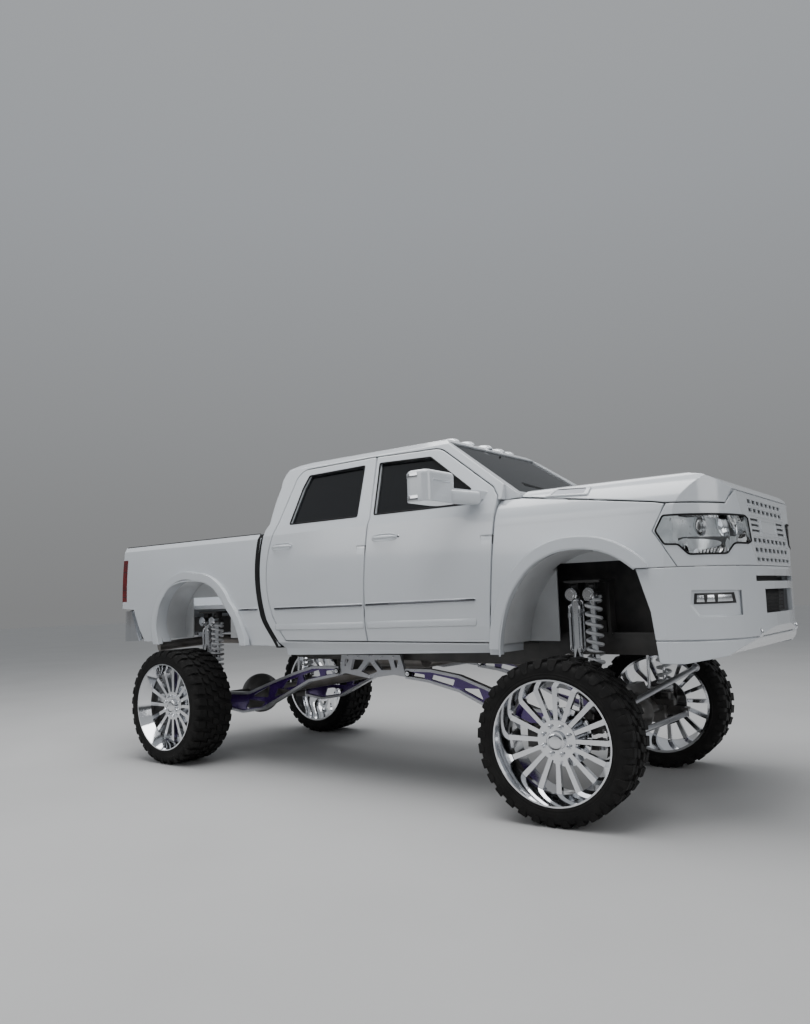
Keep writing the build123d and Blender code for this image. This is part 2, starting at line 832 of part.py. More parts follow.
# Bed
bed_outline = closed(
    (-902 - bed_gap, bed_rail_z + 20),
    ((rear_edge_high[0] - bed_gap, bed_rail_z - 10),),
    ((rear_edge_bow[0] - bed_gap, rear_edge_bow[1]), (rear_edge_mid[0] - bed_gap, rear_edge_mid[1])),
    ((rear_edge_low[0] - bed_gap, 1060),),
    ((tail_x + 373, 1088),),
    ((tail_x + 243, 1400),),
    ((bed_rear_x, 1415),),
    ((bed_rear_x, bed_rail_z + 20),),
)
bed_side_solid = prism(bed_section(0), Plane.YZ, 2 * length)
bed_side_solid -= prism(bed_section(bed_wall), Plane.YZ, 2 * length)
rear_flare = prism(grown(rear_arch, 70) & above_sill, Plane.XZ, door_half_width + 32)
rear_flare = rear_flare - block((-4000, -flare_root, 0), (0, flare_root, 3000))
with BuildPart() as bed_side:
    add(bed_side_solid)
    with BuildSketch(Plane.XZ):
        add(bed_outline)
    extrude(amount=1500, both=True, mode=Mode.INTERSECT)
    add(rear_flare)
    with BuildSketch(Plane.XZ):
        add(rear_arch)
    extrude(amount=1500, both=True, mode=Mode.SUBTRACT)
tailgate_low_z = 1412
tailgate_hinge = (bed_rear_x + 27, 1440)
trunnion_radius = 12
trunnion_end_y = door_half_width - 81
lamp_high = 1900
lamp_low = 1480
lamp_depth_x = 75
lamp_zone = block((bed_rear_x - 10, -1100, lamp_low), (bed_rear_x + lamp_depth_x, 1100, lamp_high))
bed_side_part = bed_side.part - lamp_zone
bed_side_part -= rod(
    (tailgate_hinge[0], -trunnion_end_y - 3, tailgate_hinge[1]),
    (tailgate_hinge[0], trunnion_end_y + 3, tailgate_hinge[1]),
    trunnion_radius + seat_gap,
)
write("bed_side_right", bed_side_part & block((-4000, -1500, 0), (4000, 0, 3000)))
write("bed_side_left", bed_side_part & block((-4000, 0, 0), (4000, 1500, 3000)))
lamp_core = block(
    (bed_rear_x - 10, -1100, lamp_low + seat_gap),
    (bed_rear_x + lamp_depth_x - seat_gap, 1100, lamp_high - seat_gap),
)
write("tail_lamps", bed_side.part & lamp_core)

tub_half = door_half_width - 101
wheelhouse_y = 660
wheelhouse_face = grown(rear_arch, 14)
bed_front_x = rear_edge_high[0] - bed_gap - 40
tailgate_x = bed_rear_x + tailgate_thickness + 6
bed_floor_low = bed_floor_z - bed_floor_thickness
bed_tub_part = block((tailgate_x, -tub_half, bed_floor_low), (bed_front_x, tub_half, bed_floor_z))
bed_tub_part += block(
    (bed_front_x - 60, -tub_half, bed_floor_low), (bed_front_x, tub_half, bed_rail_z - 20)
)
housing = prism(wheelhouse_face, Plane.XZ, 1500) & block(
    (-4000, wheelhouse_y, 1000), (0, tub_half + 200, 3000)
)
bed_tub_part = bed_tub_part - both_sides(housing)
bed_tub_part = bed_tub_part & prism(bed_section(bed_wall + seat_gap), Plane.YZ, 2 * length)
for x in (-1400, tail_x + 513, tail_x + 233):
    bed_tub_part += block(
        (x - 40, -620, rail_rear_z + half_rail + seat_gap), (x + 40, 620, bed_floor_low)
    )
write("bed_tub", bed_tub_part)

# Inner arches: a curved roof with an end wall on its inboard side
liner_wall = 10


def liner(arch, inboard, outboard, lowest):
    """A left inner arch: the curved roof over the wheel and the wall on its inboard side."""
    skin = prism(grown(arch, 12), Plane.XZ, outboard) - prism(arch, Plane.XZ, outboard + 100)
    skin = skin & block((-4000, inboard, lowest), (4000, outboard, 3000))
    wall = prism(grown(arch, 12), Plane.XZ, inboard + liner_wall) & block(
        (-4000, inboard, lowest), (4000, inboard + liner_wall, 3000)
    )
    return skin + wall


front_inner = liner(front_arch, 580, 1000, 1100) - block((1700, 0, 900), (2700, 650, 1640))
front_inner = front_inner - block((2300, 0, 0), (2700, 2000, bumper_seam_z + 10))
front_inner = front_inner & prism(nose_section(panel + seat_gap), Plane.YZ, 2 * length)
rear_inner = liner(rear_arch, wheelhouse_y + 2, 1000, 1110)
rear_inner = rear_inner - block((-2260, 0, 900), (-1700, 700, 1500))
rear_inner = rear_inner & prism(bed_section(bed_wall + seat_gap), Plane.YZ, 2 * length)
write("wheel_liners", both_sides(front_inner) + both_sides(rear_inner))

with BuildPart() as tailgate:
    with BuildSketch(Plane.YZ.offset(bed_rear_x)):
        add(bed_section(bed_wall + shut_gap))
        Rectangle(3000, 2 * tailgate_low_z, mode=Mode.SUBTRACT)
    extrude(amount=tailgate_thickness)
    fillet(edges().filter_by(Axis.X).group_by(Axis.Z)[0], radius=20)
tailgate_part = tailgate.part
for sign in (-1, 1):
    tailgate_part = tailgate_part + rod(
        (tailgate_hinge[0], sign * (trunnion_end_y - 55), tailgate_hinge[1]),
        (tailgate_hinge[0], sign * trunnion_end_y, tailgate_hinge[1]),
        trunnion_radius,
    )
write("tailgate", tailgate_part)

# Rear bumper with the hitch receiver under it
rear_plan = closed(
    (tail_x + 343, 0),
    ((tail_x + 343, door_half_width + 6),),
    ((tail_x + 203, door_half_width + 6),),
    ((tail_x + 93, door_half_width - 6), (tail_x + 48, door_half_width - 96)),
    ((tail_x, door_half_width - 376),),
    ((tail_x, 0),),
)
rear_plan = rear_plan + mirror(rear_plan, about=Plane.XZ)
rear_side = closed(
    (tail_x + 343, 1096),
    ((tail_x + 213, 1388),),
    ((tail_x - 67, 1388),),
    ((tail_x - 67, 1150),),
    ((tail_x + 73, 1085),),
)
bumper_root = door_half_width - 36
rear_bumper_part = prism(rear_plan, Plane.XY, 3000) & prism(rear_side, Plane.XZ, 1100)
rear_bumper_part -= block((tail_x + 45, -bumper_root, 1000), (tail_x + 433, bumper_root, 1348))
rear_bumper_part -= block((tail_x + 108, -bumper_root, 1000), (tail_x + 433, bumper_root, 1500))
receiver_z = 1010
receiver_half = 38
receiver_bore = 31.9
receiver_front_x = tail_x + 333
receiver = block(
    (tail_x + 20, -receiver_half, receiver_z - receiver_half),
    (receiver_front_x, receiver_half, receiver_z + receiver_half),
)
hitch_bar = rod((tail_x + 273, -520, receiver_z + 20), (tail_x + 273, 520, receiver_z + 20), 32)
hitch = receiver + hitch_bar
rail_rear_low = rail_rear_z - half_rail - seat_gap
for y in (-rail_y, rail_y):
    hitch += block((tail_x + 223, y - 12, receiver_z), (tail_x + 323, y + 12, rail_rear_low))
    hitch += block((tail_x + 133, y - 40, 1100), (tail_x + 243, y + 40, rail_rear_low))
    hitch += block((tail_x + 30, y - 40, 1160), (tail_x + 123, y + 40, 1240))
hitch += block((tail_x + 30, -60, receiver_z), (tail_x + 60, 60, 1130))
hitch -= block(
    (tail_x - 10, -receiver_bore, receiver_z - receiver_bore),
    (receiver_front_x + 10, receiver_bore, receiver_z + receiver_bore),
)
hitch_pin_x = tail_x + 90
hitch_pin_radius = 8
hitch -= rod((hitch_pin_x, -60, receiver_z), (hitch_pin_x, 60, receiver_z), hitch_pin_radius)
write("rear_bumper", rear_bumper_part + hitch)

# Frame: two rails, kicked up over each axle, and the tubes between them
RAIL_LINE = (
    (rail_front_x, rail_front_z),
    (1700, rail_front_z),
    (1470, rail_mid_z),
    (-1000, rail_mid_z),
    (-1300, rail_rear_z),
    (tail_x + 133, rail_rear_z),
)
rail_face = closed(
    (RAIL_LINE[0][0], RAIL_LINE[0][1] - half_rail),
    *[((x, z + half_rail),) for x, z in RAIL_LINE],
    *[((x, z - half_rail),) for x, z in reversed(RAIL_LINE[1:])],
)
TUBES = (
    (support_x, rail_front_z),
    (520, 1050),
    (-420, 1050),
    (-1420, 1270),
    (tail_x + 573, 1270),
    (tail_x + 193, 1270),
)
tube_radius = 30
shock_y = 620
rail_outer = rail_y + rail_width / 2
# Shock towers: x, height of the top plate, foot of the posts
TOWERS = ((1925, 1500, 1155), (-2035, 1345, 1240))
with BuildPart() as frame:
    for y in (-rail_y, rail_y):
        with BuildSketch(Plane.XZ.offset(y)):
            add(rail_face)
        extrude(amount=rail_width / 2, both=True)
    for x, z in TUBES:
        add(rod((x, -rail_y, z), (x, rail_y, z), tube_radius))
    for x, top, low in TOWERS:
        for sign in (-1, 1):
            y0, y1 = sorted((sign * (rail_outer - 60), sign * (rail_outer + 24)))
            for dx in (-110, 110):
                add(block((x + dx - 12, y0, low - 20), (x + dx + 12, y1, top)))
            y0, y1 = sorted((sign * (rail_outer - 60), sign * (shock_y + 60)))
            add(block((x - 130, y0, top), (x + 130, y1, top + 16)))
    for x in (1200, 0, -600):
        for y in (-rail_y, rail_y):
            add(rod((x, y, rail_mid_z), (x, y, floor_z - floor_thickness - seat_gap), 36))
pitman_pivot = (2060, rail_y - 30, 905)
pitman_thick = 36
steering_box = block(
    (pitman_pivot[0] - 70, pitman_pivot[1] - 45, 940),
    (pitman_pivot[0] + 70, pitman_pivot[1] + 40, 1100),
)
steering_box += rod(
    (pitman_pivot[0], pitman_pivot[1], pitman_pivot[2] + pitman_thick / 2 + seat_gap),
    (pitman_pivot[0], pitman_pivot[1], 950),
    24,
)
write("frame", frame.part + steering_box)

# Engine, driveline, tank and exhaust
engine_part = block((1560, -300, 1010), (2380, 300, 1950))
for sign in (-1, 1):
    y0, y1 = sorted((sign * 290, sign * (rail_y + 30)))
    engine_part += block((1850, y0, rail_front_z + half_rail + seat_gap), (2000, y1, 1240))
write("engine", engine_part)

rear_output = Vector(570, 0, 950)
front_output = Vector(700, 215, 940)
rear_centre = Vector(rear_axle_x, 0, axle_z)
diff_y = 230
front_centre = Vector(front_axle_x, diff_y, axle_z)
rear_way = (rear_output - rear_centre).normalized()
front_way = (front_output - front_centre).normalized()
pinion_reach = 320
rear_pinion = rear_centre + rear_way * pinion_reach
front_pinion = front_centre + front_way * pinion_reach
driveline_part = block((700, -180, 960), (1560 - seat_gap, 180, 1110))
driveline_part += block((560, -150, 900), (720, 260, 1110))
driveline_part += rod(rear_output, rear_pinion, 48)
driveline_part += rod(front_output, front_pinion, 36)
write("driveline", driveline_part)

tube_low = 1020
tank = block((-1050, 90, 770), (-120, 385, tube_low - seat_gap))
write("fuel_tank", tank)

pipe_path = (
    (1500, -330, 950),
    (-1000, -330, 950),
    (-1300, -330, 1080),
    (-2300, -330, 1080),
    (-2500, -640, 1050),
    (-2560, -860, 1030),
)
pipe_radius = 45
pipe = None
for here, there in zip(pipe_path, pipe_path[1:]):
    piece = rod(here, there, pipe_radius)
    pipe = piece if pipe is None else pipe + piece
for x, y, z in pipe_path[1:-1]:
    pipe += Pos(x, y, z) * Sphere(pipe_radius)
pipe += rod((320, -300, 935), (-330, -300, 935), 80)
for x in (TUBES[1][0], TUBES[2][0]):
    pipe += block((x - 12, -345, 950), (x + 12, -315, tube_low - seat_gap))
write("exhaust", pipe)

# Axles
hub_face_y = lip_half_track - hub_depth
tube_r = 58
spindle_r = 70
yoke_height = 135
yoke_ear = 40
kingpin_radius = 18
disc_radius = 185


def caliper(sign, face):
    """A brake caliper behind the axle, over a disc inboard of the hub face."""
    y0, y1 = sorted((sign * (face - 85), sign * (face + 5)))
    body = block((-235, y0, axle_z - 70), (-110, y1, axle_z + 70))
    y0, y1 = sorted((sign * (face - 61), sign * (face - 24)))
    return body - rod((0, y0, axle_z), (0, y1, axle_z), disc_radius + 6)


front_axle_part = rod((front_axle_x, -735, axle_z), (front_axle_x, 735, axle_z), tube_r)
front_axle_part += Pos(front_axle_x, diff_y, axle_z) * Sphere(155)
front_axle_part += rod(front_centre, front_pinion - front_way * seat_gap, 60)
for sign in (-1, 1):
    y0, y1 = sorted((sign * 700, sign * 735))
    front_axle_part += block(
        (front_axle_x - 70, y0, axle_z - yoke_height), (front_axle_x + 70, y1, axle_z + yoke_height)
    )
    y0, y1 = sorted((sign * 700, sign * kingpin_y))
    for ear_z in (axle_z - yoke_height, axle_z + yoke_height - yoke_ear):
        ear = Pos(front_axle_x, sign * kingpin_y, ear_z + yoke_ear / 2)
        front_axle_part += block((front_axle_x - 50, y0, ear_z), (front_axle_x + 50, y1, ear_z + yoke_ear))
        front_axle_part += ear * Cylinder(50, yoke_ear)
        front_axle_part -= ear * Cylinder(kingpin_radius + seat_gap, yoke_ear + 20)
    y0, y1 = sorted((sign * (shock_y - 32), sign * (shock_y + 32)))
    front_axle_part += block((front_axle_x - 60, y0, axle_z + 20), (front_axle_x + 190, y1, axle_z + 66))
    y0, y1 = sorted((sign * 420, sign * 490))
    front_axle_part += block((front_axle_x - 95, y0, axle_z - 60), (front_axle_x, y1, axle_z + 60))
truss_bar = closed((-560, axle_z + 40), ((-420, 730),), ((420, 730),), ((560, axle_z + 40),))
truss_hole = closed((-470, axle_z + 70), ((-390, 700),), ((-60, 700),), ((-330, axle_z + 70),))
axle_truss = prism(truss_bar, Plane.YZ.offset(front_axle_x), 30)
axle_truss -= prism(truss_hole, Plane.YZ.offset(front_axle_x), 60)
front_axle_part += axle_truss
write("front_axle", front_axle_part)

rear_axle_part = rod((rear_axle_x, -900, axle_z), (rear_axle_x, 900, axle_z), tube_r + 5)
rear_axle_part += Pos(rear_axle_x, 0, axle_z) * Sphere(195)
rear_axle_part += rod(rear_centre, rear_pinion - rear_way * seat_gap, 70)
for sign in (-1, 1):
    y0, y1 = sorted((sign * 890, sign * (hub_face_y - seat_gap)))
    rear_axle_part += rod((rear_axle_x, y0, axle_z), (rear_axle_x, y1, axle_z), spindle_r)
    y0, y1 = sorted((sign * (shock_y - 32), sign * (shock_y + 32)))
    rear_axle_part += block((rear_axle_x - 110, y0, axle_z + 20), (rear_axle_x + 110, y1, axle_z + 70))
    y0, y1 = sorted((sign * 505, sign * 575))
    rear_axle_part += block((rear_axle_x, y0, axle_z - 90), (rear_axle_x + 120, y1, axle_z + 75))
    y0, y1 = sorted((sign * 850, sign * 898))
    rear_axle_part += block((rear_axle_x - 180, y0, axle_z - 35), (rear_axle_x - 20, y1, axle_z + 35))
    rear_axle_part += Pos(rear_axle_x, 0, 0) * caliper(sign, hub_face_y)
write("rear_axle", rear_axle_part)

# Long arms from the middle truss to the axles: a silver border round a purple web
arm_half = 30
arm_border = 22
web_half = 8
rear_arm_y = 540
front_arm_turn = 3.2
front_arm_pivot_x = 300
front_arm_reach = front_axle_x - 95 - seat_gap - front_arm_pivot_x
arm_lead = sin(radians(front_arm_turn))
front_arm_end = front_arm_pivot_x + (front_arm_reach - arm_half * arm_lead) / cos(radians(front_arm_turn))
arm_tilt = 15 * arm_lead
rear_arm_face = closed(
    (-427, 790),
    ((-427, 868),),
    ((-738, 862),),
    ((-952, 805),),
    ((-1246, 715),),
    ((-1583, 600),),
    ((rear_axle_x + 120 + seat_gap, 585),),
    ((rear_axle_x + 120 + seat_gap, 430),),
    ((-1657, 401),),
    ((-1390, 445),),
    ((-1114, 572),),
    ((-782, 723),),
)
front_arm_face = closed(
    (300, 790),
    ((513, 766),),
    ((792, 701),),
    ((1114, 560),),
    ((1400, 462),),
    ((front_arm_end, 455),),
    ((front_arm_end, 570),),
    ((1430, 610),),
    ((1064, 738),),
    ((797, 830),),
    ((540, 868),),
    ((300, 868),),
)
REAR_WINDOWS = (
    ((-480, 806), (-600, 790), (-600, 822), (-480, 838)),
    ((-660, 780), (-860, 730), (-880, 780), (-680, 830)),
    ((-930, 760), (-960, 680), (-1150, 640), (-1080, 720)),
    ((-1020, 640), (-1260, 560), (-1200, 650)),
    ((-1300, 670), (-1330, 560), (-1560, 560)),
    ((-1360, 520), (-1420, 470), (-1640, 440), (-1600, 530)),
)
FRONT_WINDOWS = (
    ((350, 806), (470, 792), (470, 824), (350, 838)),
    ((530, 786), (730, 742), (750, 792), (550, 826)),
    ((800, 730), (1000, 640), (960, 730)),
    ((1060, 690), (1090, 600), (1320, 550), (1280, 630)),
)


def windows(table):
    """One face of all the round-cornered windows in a table of corners."""
    faces = None
    for points in table:
        with BuildSketch() as hole:
            with BuildLine():
                Polyline(*points, close=True)
            make_face()
            fillet(vertices(), radius=8)
        faces = hole.sketch if faces is None else faces + hole.sketch
    return faces


def arm(face, table, y, turn, pivot_x):
    """Border and web of one right arm, turned inwards about its pivot."""
    core = grown(face, -arm_border)
    border = prism(face - core, Plane.XZ.offset(y), arm_half)
    web = prism(grown(core, -seat_gap) - windows(table), Plane.XZ.offset(y), web_half)
    spot = Pos(pivot_x, -y, 0) * Rot(0, 0, turn) * Pos(-pivot_x, y, 0)
    return spot * border, spot * web


front_border, front_web = arm(front_arm_face, FRONT_WINDOWS, rear_arm_y, front_arm_turn, front_arm_pivot_x)
rear_border, rear_web = arm(rear_arm_face, REAR_WINDOWS, rear_arm_y, 0, -427)
write("suspension_arms", both_sides(front_border) + both_sides(rear_border))
write("arm_webs", both_sides(front_web) + both_sides(rear_web))

truss_face = closed(
    (-427 + seat_gap, 800),
    ((-400, 965),),
    ((240, 975),),
    ((300 - seat_gap - arm_tilt, 800),),
    ((170, 815),),
    ((-90, 776),),
    ((-350, 812),),
)
TRUSS_WINDOWS = (
    ((-370, 850), (-360, 930), (-310, 930)),
    ((-300, 840), (-270, 930), (-140, 930), (-215, 850)),
    ((-180, 830), (-90, 920), (0, 835), (-90, 805)),
    ((-40, 930), (120, 935), (150, 850), (40, 850)),
    ((200, 850), (170, 935), (220, 935)),
)
truss_part = prism(truss_face - windows(TRUSS_WINDOWS), Plane.XZ.offset(rear_arm_y), 15)
truss_part += block((-400, -rear_arm_y - 10, 935), (-300, -rail_outer - seat_gap, 965))
truss_part += block((120, -rear_arm_y - 10, 940), (220, -rail_outer - seat_gap, 970))
write("centre_truss", both_sides(truss_part))

# Coil-over units and their bypass tubes
SHOCKS = (
    # x, low z, high z, body radius, coil radius
    (front_axle_x + 118, axle_z + 66 + seat_gap, 1500 - seat_gap, 26, 62),
    (front_axle_x - 10, axle_z + 66 + seat_gap, 1500 - seat_gap, 34, 0),
    (rear_axle_x + 75, axle_z + 70 + seat_gap, 1345 - seat_gap, 26, 62),
    (rear_axle_x - 70, axle_z + 70 + seat_gap, 1345 - seat_gap, 34, 0),
)
coil_turns = 7
shock_parts = None
for x, low, high, body_r, coil_r in SHOCKS:
    with BuildPart() as unit:
        with BuildSketch(Plane.XY.offset(low)):
            with Locations((x, -shock_y)):
                Circle(body_r - 10)
        extrude(amount=high - low)
        with BuildSketch(Plane.XY.offset((low + high) / 2)):
            with Locations((x, -shock_y)):
                Circle(body_r)
        extrude(amount=(high - low) / 2 - 60)
    piece = unit.part
    if coil_r:
        coil_low, coil_high = low + 60, high - 80
        pitch = (coil_high - coil_low) / coil_turns
        with BuildPart() as coil:
            with BuildSketch(Plane.XZ):
                with BuildLine():
                    rows = [(0, coil_low)]
                    for turn in range(coil_turns):
                        rows.append((coil_r - 22, coil_low + turn * pitch))
                        rows.append((coil_r, coil_low + (turn + 0.5) * pitch))
                    rows.append((coil_r - 22, coil_high))
                    rows.append((0, coil_high))
                    Polyline(*rows, close=True)
                make_face()
            revolve(axis=Axis.Z)
        piece = piece + Pos(x, -shock_y, 0) * coil.part
    shock_parts = piece if shock_parts is None else shock_parts + piece
write("shocks", both_sides(shock_parts))

# Steering: knuckles, tie rod, drag link and pitman arm, turned as parked
knuckle_gap = 6
tie_arm = 200
tie_z = 440
drag_arm = 230
pin_radius = 10


def knuckle(sign, with_drag):
    """A knuckle about its kingpin, pointing straight ahead."""
    inner_low = axle_z - yoke_height + yoke_ear + knuckle_gap
    inner_high = axle_z + yoke_height - yoke_ear - knuckle_gap
    body = Pos(0, 0, (inner_low + inner_high) / 2) * Cylinder(52, inner_high - inner_low)
    body += rod((0, 0, axle_z - yoke_height), (0, 0, axle_z + yoke_height), kingpin_radius)
    y0, y1 = sorted((0, sign * (hub_face_y - kingpin_y - seat_gap)))
    body += rod((0, y0, axle_z), (0, y1, axle_z), spindle_r)
    y0, y1 = sorted((sign * 30, sign * 70))
    body += block((0, y0, tie_z - 14), (tie_arm, y1, axle_z - 20))
    y0, y1 = sorted((sign * -24, sign * 70))
    body += block((tie_arm - 30, y0, tie_z + 30), (tie_arm + 24, y1, tie_z + 50))
    body -= rod((tie_arm, 0, tie_z), (tie_arm, 0, tie_z + 60), pin_radius + pin_fit)
    y0, y1 = sorted((sign * 30, sign * 100))
    body += block((-180, y0, axle_z - 35), (-20, y1, axle_z + 35))
    body += caliper(sign, hub_face_y - kingpin_y)
    if with_drag:
        y0, y1 = sorted((sign * 30, sign * 70))
        body += block((0, y0, axle_z + 20), (drag_arm, y1, axle_z + 70))
        y0, y1 = sorted((sign * -24, sign * 70))
        body += block((drag_arm - 30, y0, axle_z + 50), (drag_arm + 24, y1, axle_z + 70))
        body -= rod((drag_arm, 0, axle_z), (drag_arm, 0, axle_z + 90), pin_radius + pin_fit)
    return body


def steered(sign):
    """Placement of one front corner, turned about its kingpin as parked."""
    return Pos(front_axle_x, sign * kingpin_y, 0) * Rot(0, 0, steer_rest)


for side, sign in SIDES:
    write(f"knuckle_{side}", steered(sign) * knuckle(sign, sign < 0))

turn = radians(steer_rest)
tie_x = front_axle_x + tie_arm * cos(turn)
tie_y = tie_arm * sin(turn)
tie_rod_part = rod((tie_x, -kingpin_y + tie_y, tie_z), (tie_x, kingpin_y + tie_y, tie_z), 22)
for sign in (-1, 1):
    tie_rod_part += Pos(tie_x, sign * kingpin_y + tie_y, tie_z + 2) * Cylinder(24, 44)
    tie_rod_part += rod(
        (tie_x, sign * kingpin_y + tie_y, tie_z), (tie_x, sign * kingpin_y + tie_y, tie_z + 58), pin_radius
    )
write("tie_rod", tie_rod_part)

drag_end = (front_axle_x + drag_arm * cos(turn), -kingpin_y + drag_arm * sin(turn), axle_z + 110)
pitman_end = (
    pitman_pivot[0] + drag_arm * cos(turn),
    pitman_pivot[1] + drag_arm * sin(turn),
    pitman_pivot[2] - 60,
)
drag_part = rod(drag_end, pitman_end, 20)
for x, y, z in (drag_end, pitman_end):
    drag_part += Pos(x, y, z) * Sphere(30)
x, y, z = drag_end
drag_part += rod((x, y, z), (x, y, axle_z + 42), pin_radius)
x, y, z = pitman_end
drag_part += rod((x, y, z), (x, y, pitman_pivot[2] + 22), pin_radius)
write("drag_link", drag_part)

pitman_part = Cylinder(42, pitman_thick)
pitman_part += block((0, -26, -14), (drag_arm, 26, 14))
pitman_part += Pos(drag_arm, 0, 0) * Cylinder(32, 28)
pitman_part -= Pos(drag_arm, 0, 0) * Cylinder(pin_radius + pin_fit, 60)
write("pitman_arm", Pos(*pitman_pivot) * Rot(0, 0, steer_rest) * pitman_part)

# Wheels: a deep-dish forged rim with thin spokes, and its tyre
ring_radius = rim_lip_radius - 58
cap_radius = 58
pad_radius = 92
rim_flange = 12
rim_depth = tyre_width - 2
spoke_face = closed(
    (100, -13), ((ring_radius + 4, -17),), ((ring_radius + 4, 17),), ((100, 13),)
)
with BuildPart() as rim:
    with BuildSketch(Plane.XY):
        with BuildLine():
            Polyline(
                (rim_lip_radius, 0),
                (rim_lip_radius, -rim_flange),
                (bead_radius, -rim_flange),
                (bead_radius, rim_flange - rim_depth),
                (rim_lip_radius, rim_flange - rim_depth),
                (rim_lip_radius, -rim_depth),
                (bead_radius - 6, -rim_depth),
                (ring_radius + 6, -disc_depth - 80),
                (ring_radius, -disc_depth - 26),
                (ring_radius, -disc_depth),
                (rim_lip_radius - 10, 0),
                close=True,
            )
        make_face()
    revolve(axis=Axis.Y)
    with BuildSketch(Plane.XZ.offset(disc_depth + 6)):
        with PolarLocations(0, spoke_count):
            add(spoke_face)
    extrude(amount=38)
    with BuildSketch(Plane.XZ.offset(disc_depth + 2)):
        Circle(pad_radius + 34)
    extrude(amount=48)
    with BuildSketch(Plane.XZ.offset(disc_depth + 50)):
        Circle(pad_radius)
    extrude(amount=hub_depth - disc_depth - 50)
    with BuildSketch(Plane.XZ.offset(disc_depth - 18)):
        Circle(cap_radius)
    extrude(amount=22)
    with BuildSketch(Plane.XZ.offset(hub_depth)):
        Circle(pad_radius)
        Circle(spindle_r + 6, mode=Mode.SUBTRACT)
    extrude(amount=30)
    with BuildSketch(Plane.XZ.offset(hub_depth + 30)):
        Circle(disc_radius)
        Circle(spindle_r + 6, mode=Mode.SUBTRACT)
    extrude(amount=25)

# Tyre sections from the outer side wall to the inner one: y from the lip, radius
TYRE_SECTIONS = (
    (-rim_flange - seat_gap, rim_lip_radius + 2),
    (-2, rim_lip_radius + 14),
    (2, 440),
    (-10, 490),
    (-26, tyre_radius),
)
mirrored = tuple((-rim_depth - y, r) for y, r in reversed(TYRE_SECTIONS))
with BuildPart() as tyre:
    for (y0, r0), (y1, r1) in zip(TYRE_SECTIONS + mirrored, (TYRE_SECTIONS + mirrored)[1:]):
        for y, r in ((y0, r0), (y1, r1)):
            with BuildSketch(Plane.XZ.offset(-y)):
                RegularPolygon(r, tyre_sides, major_radius=False, rotation=180 / tyre_sides)
        loft(ruled=True)
    with BuildSketch(Plane.XZ.offset(-20)):
        RegularPolygon(bead_radius + 0.6, tyre_sides, major_radius=False, rotation=180 / tyre_sides)
    extrude(amount=tyre_width + 60, mode=Mode.SUBTRACT)
    for start in (rim_flange + seat_gap, rim_depth + 30):
        with BuildSketch(Plane.XZ.offset(start)):
            RegularPolygon(rim_lip_radius + 0.6, tyre_sides, major_radius=False, rotation=180 / tyre_sides)
        extrude(amount=-rim_flange - 30 - seat_gap, mode=Mode.SUBTRACT)

# Each wheel stands at its own corner, the front ones steered
for name, piece in (("rim", rim.part), ("tyre", tyre.part)):
    for side, sign in SIDES:
        own = piece if sign > 0 else mirror(piece, about=Plane.XZ)
        write(f"{name}_rear_{side}", Pos(rear_axle_x, sign * lip_half_track, axle_z) * own)
        out = Pos(0, sign * (lip_half_track - kingpin_y), axle_z)
        write(f"{name}_front_{side}", steered(sign) * out * own)
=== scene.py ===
"""Lifted crew-cab pickup truck: its finishes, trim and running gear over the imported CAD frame."""
from __future__ import annotations

import json
import logging
import math
from dataclasses import dataclass
from enum import Enum
from typing import Any, Iterable, Sequence

import bmesh
import bpy
from mathutils import Matrix, Vector
from mathutils.bvhtree import BVHTree

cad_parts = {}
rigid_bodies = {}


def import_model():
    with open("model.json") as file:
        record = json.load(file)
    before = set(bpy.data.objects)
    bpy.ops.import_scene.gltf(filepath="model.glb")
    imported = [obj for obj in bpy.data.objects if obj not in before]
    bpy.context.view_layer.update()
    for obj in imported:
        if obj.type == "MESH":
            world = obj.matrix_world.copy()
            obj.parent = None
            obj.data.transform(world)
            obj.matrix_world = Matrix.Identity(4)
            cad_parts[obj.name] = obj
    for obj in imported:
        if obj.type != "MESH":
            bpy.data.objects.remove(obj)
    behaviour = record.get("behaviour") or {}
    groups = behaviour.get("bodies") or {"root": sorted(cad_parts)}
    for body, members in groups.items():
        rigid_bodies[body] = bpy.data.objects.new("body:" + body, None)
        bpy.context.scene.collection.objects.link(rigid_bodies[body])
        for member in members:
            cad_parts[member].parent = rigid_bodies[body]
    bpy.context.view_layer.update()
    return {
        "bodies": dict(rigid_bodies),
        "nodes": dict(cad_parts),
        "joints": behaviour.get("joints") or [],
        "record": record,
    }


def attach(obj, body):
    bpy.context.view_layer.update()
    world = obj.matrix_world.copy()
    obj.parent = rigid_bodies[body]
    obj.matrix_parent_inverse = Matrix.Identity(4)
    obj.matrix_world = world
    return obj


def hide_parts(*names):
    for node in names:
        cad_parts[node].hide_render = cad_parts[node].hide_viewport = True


LOG = logging.getLogger("pickup")
Point = Sequence[float]
Flat = tuple[float, float]
Colour = tuple[float, float, float]
Tree = bpy.types.NodeTree
Node = bpy.types.Node
Socket = bpy.types.NodeSocket
Thing = bpy.types.Object
Nodes = dict[str, Thing]
ROOT = "chassis_and_body"
AXLE, UPRIGHT, AFT = (0, 1, 0), (0, 0, 1), (-1, 0, 0)


class Side(Enum):
    """The truck's two sides, with the sign of Y on each."""

    RIGHT = -1
    LEFT = 1

    @property
    def word(self) -> str:
        """The side's name in the names of pieces."""
        return self.name.lower()

    def span(self, one: float, two: float) -> Flat:
        """Two distances from the middle as Y on this side, the lower one first."""
        return tuple(sorted((self.value * one, self.value * two)))


class Grain(Enum):
    """What breaks up a finish at close range."""

    ORANGE_PEEL = "orange_peel"
    BRUSHED = "brushed"
    CAST = "cast"
    MOULDED = "moulded"
    RUBBER = "rubber"
    LEATHER = "leather"


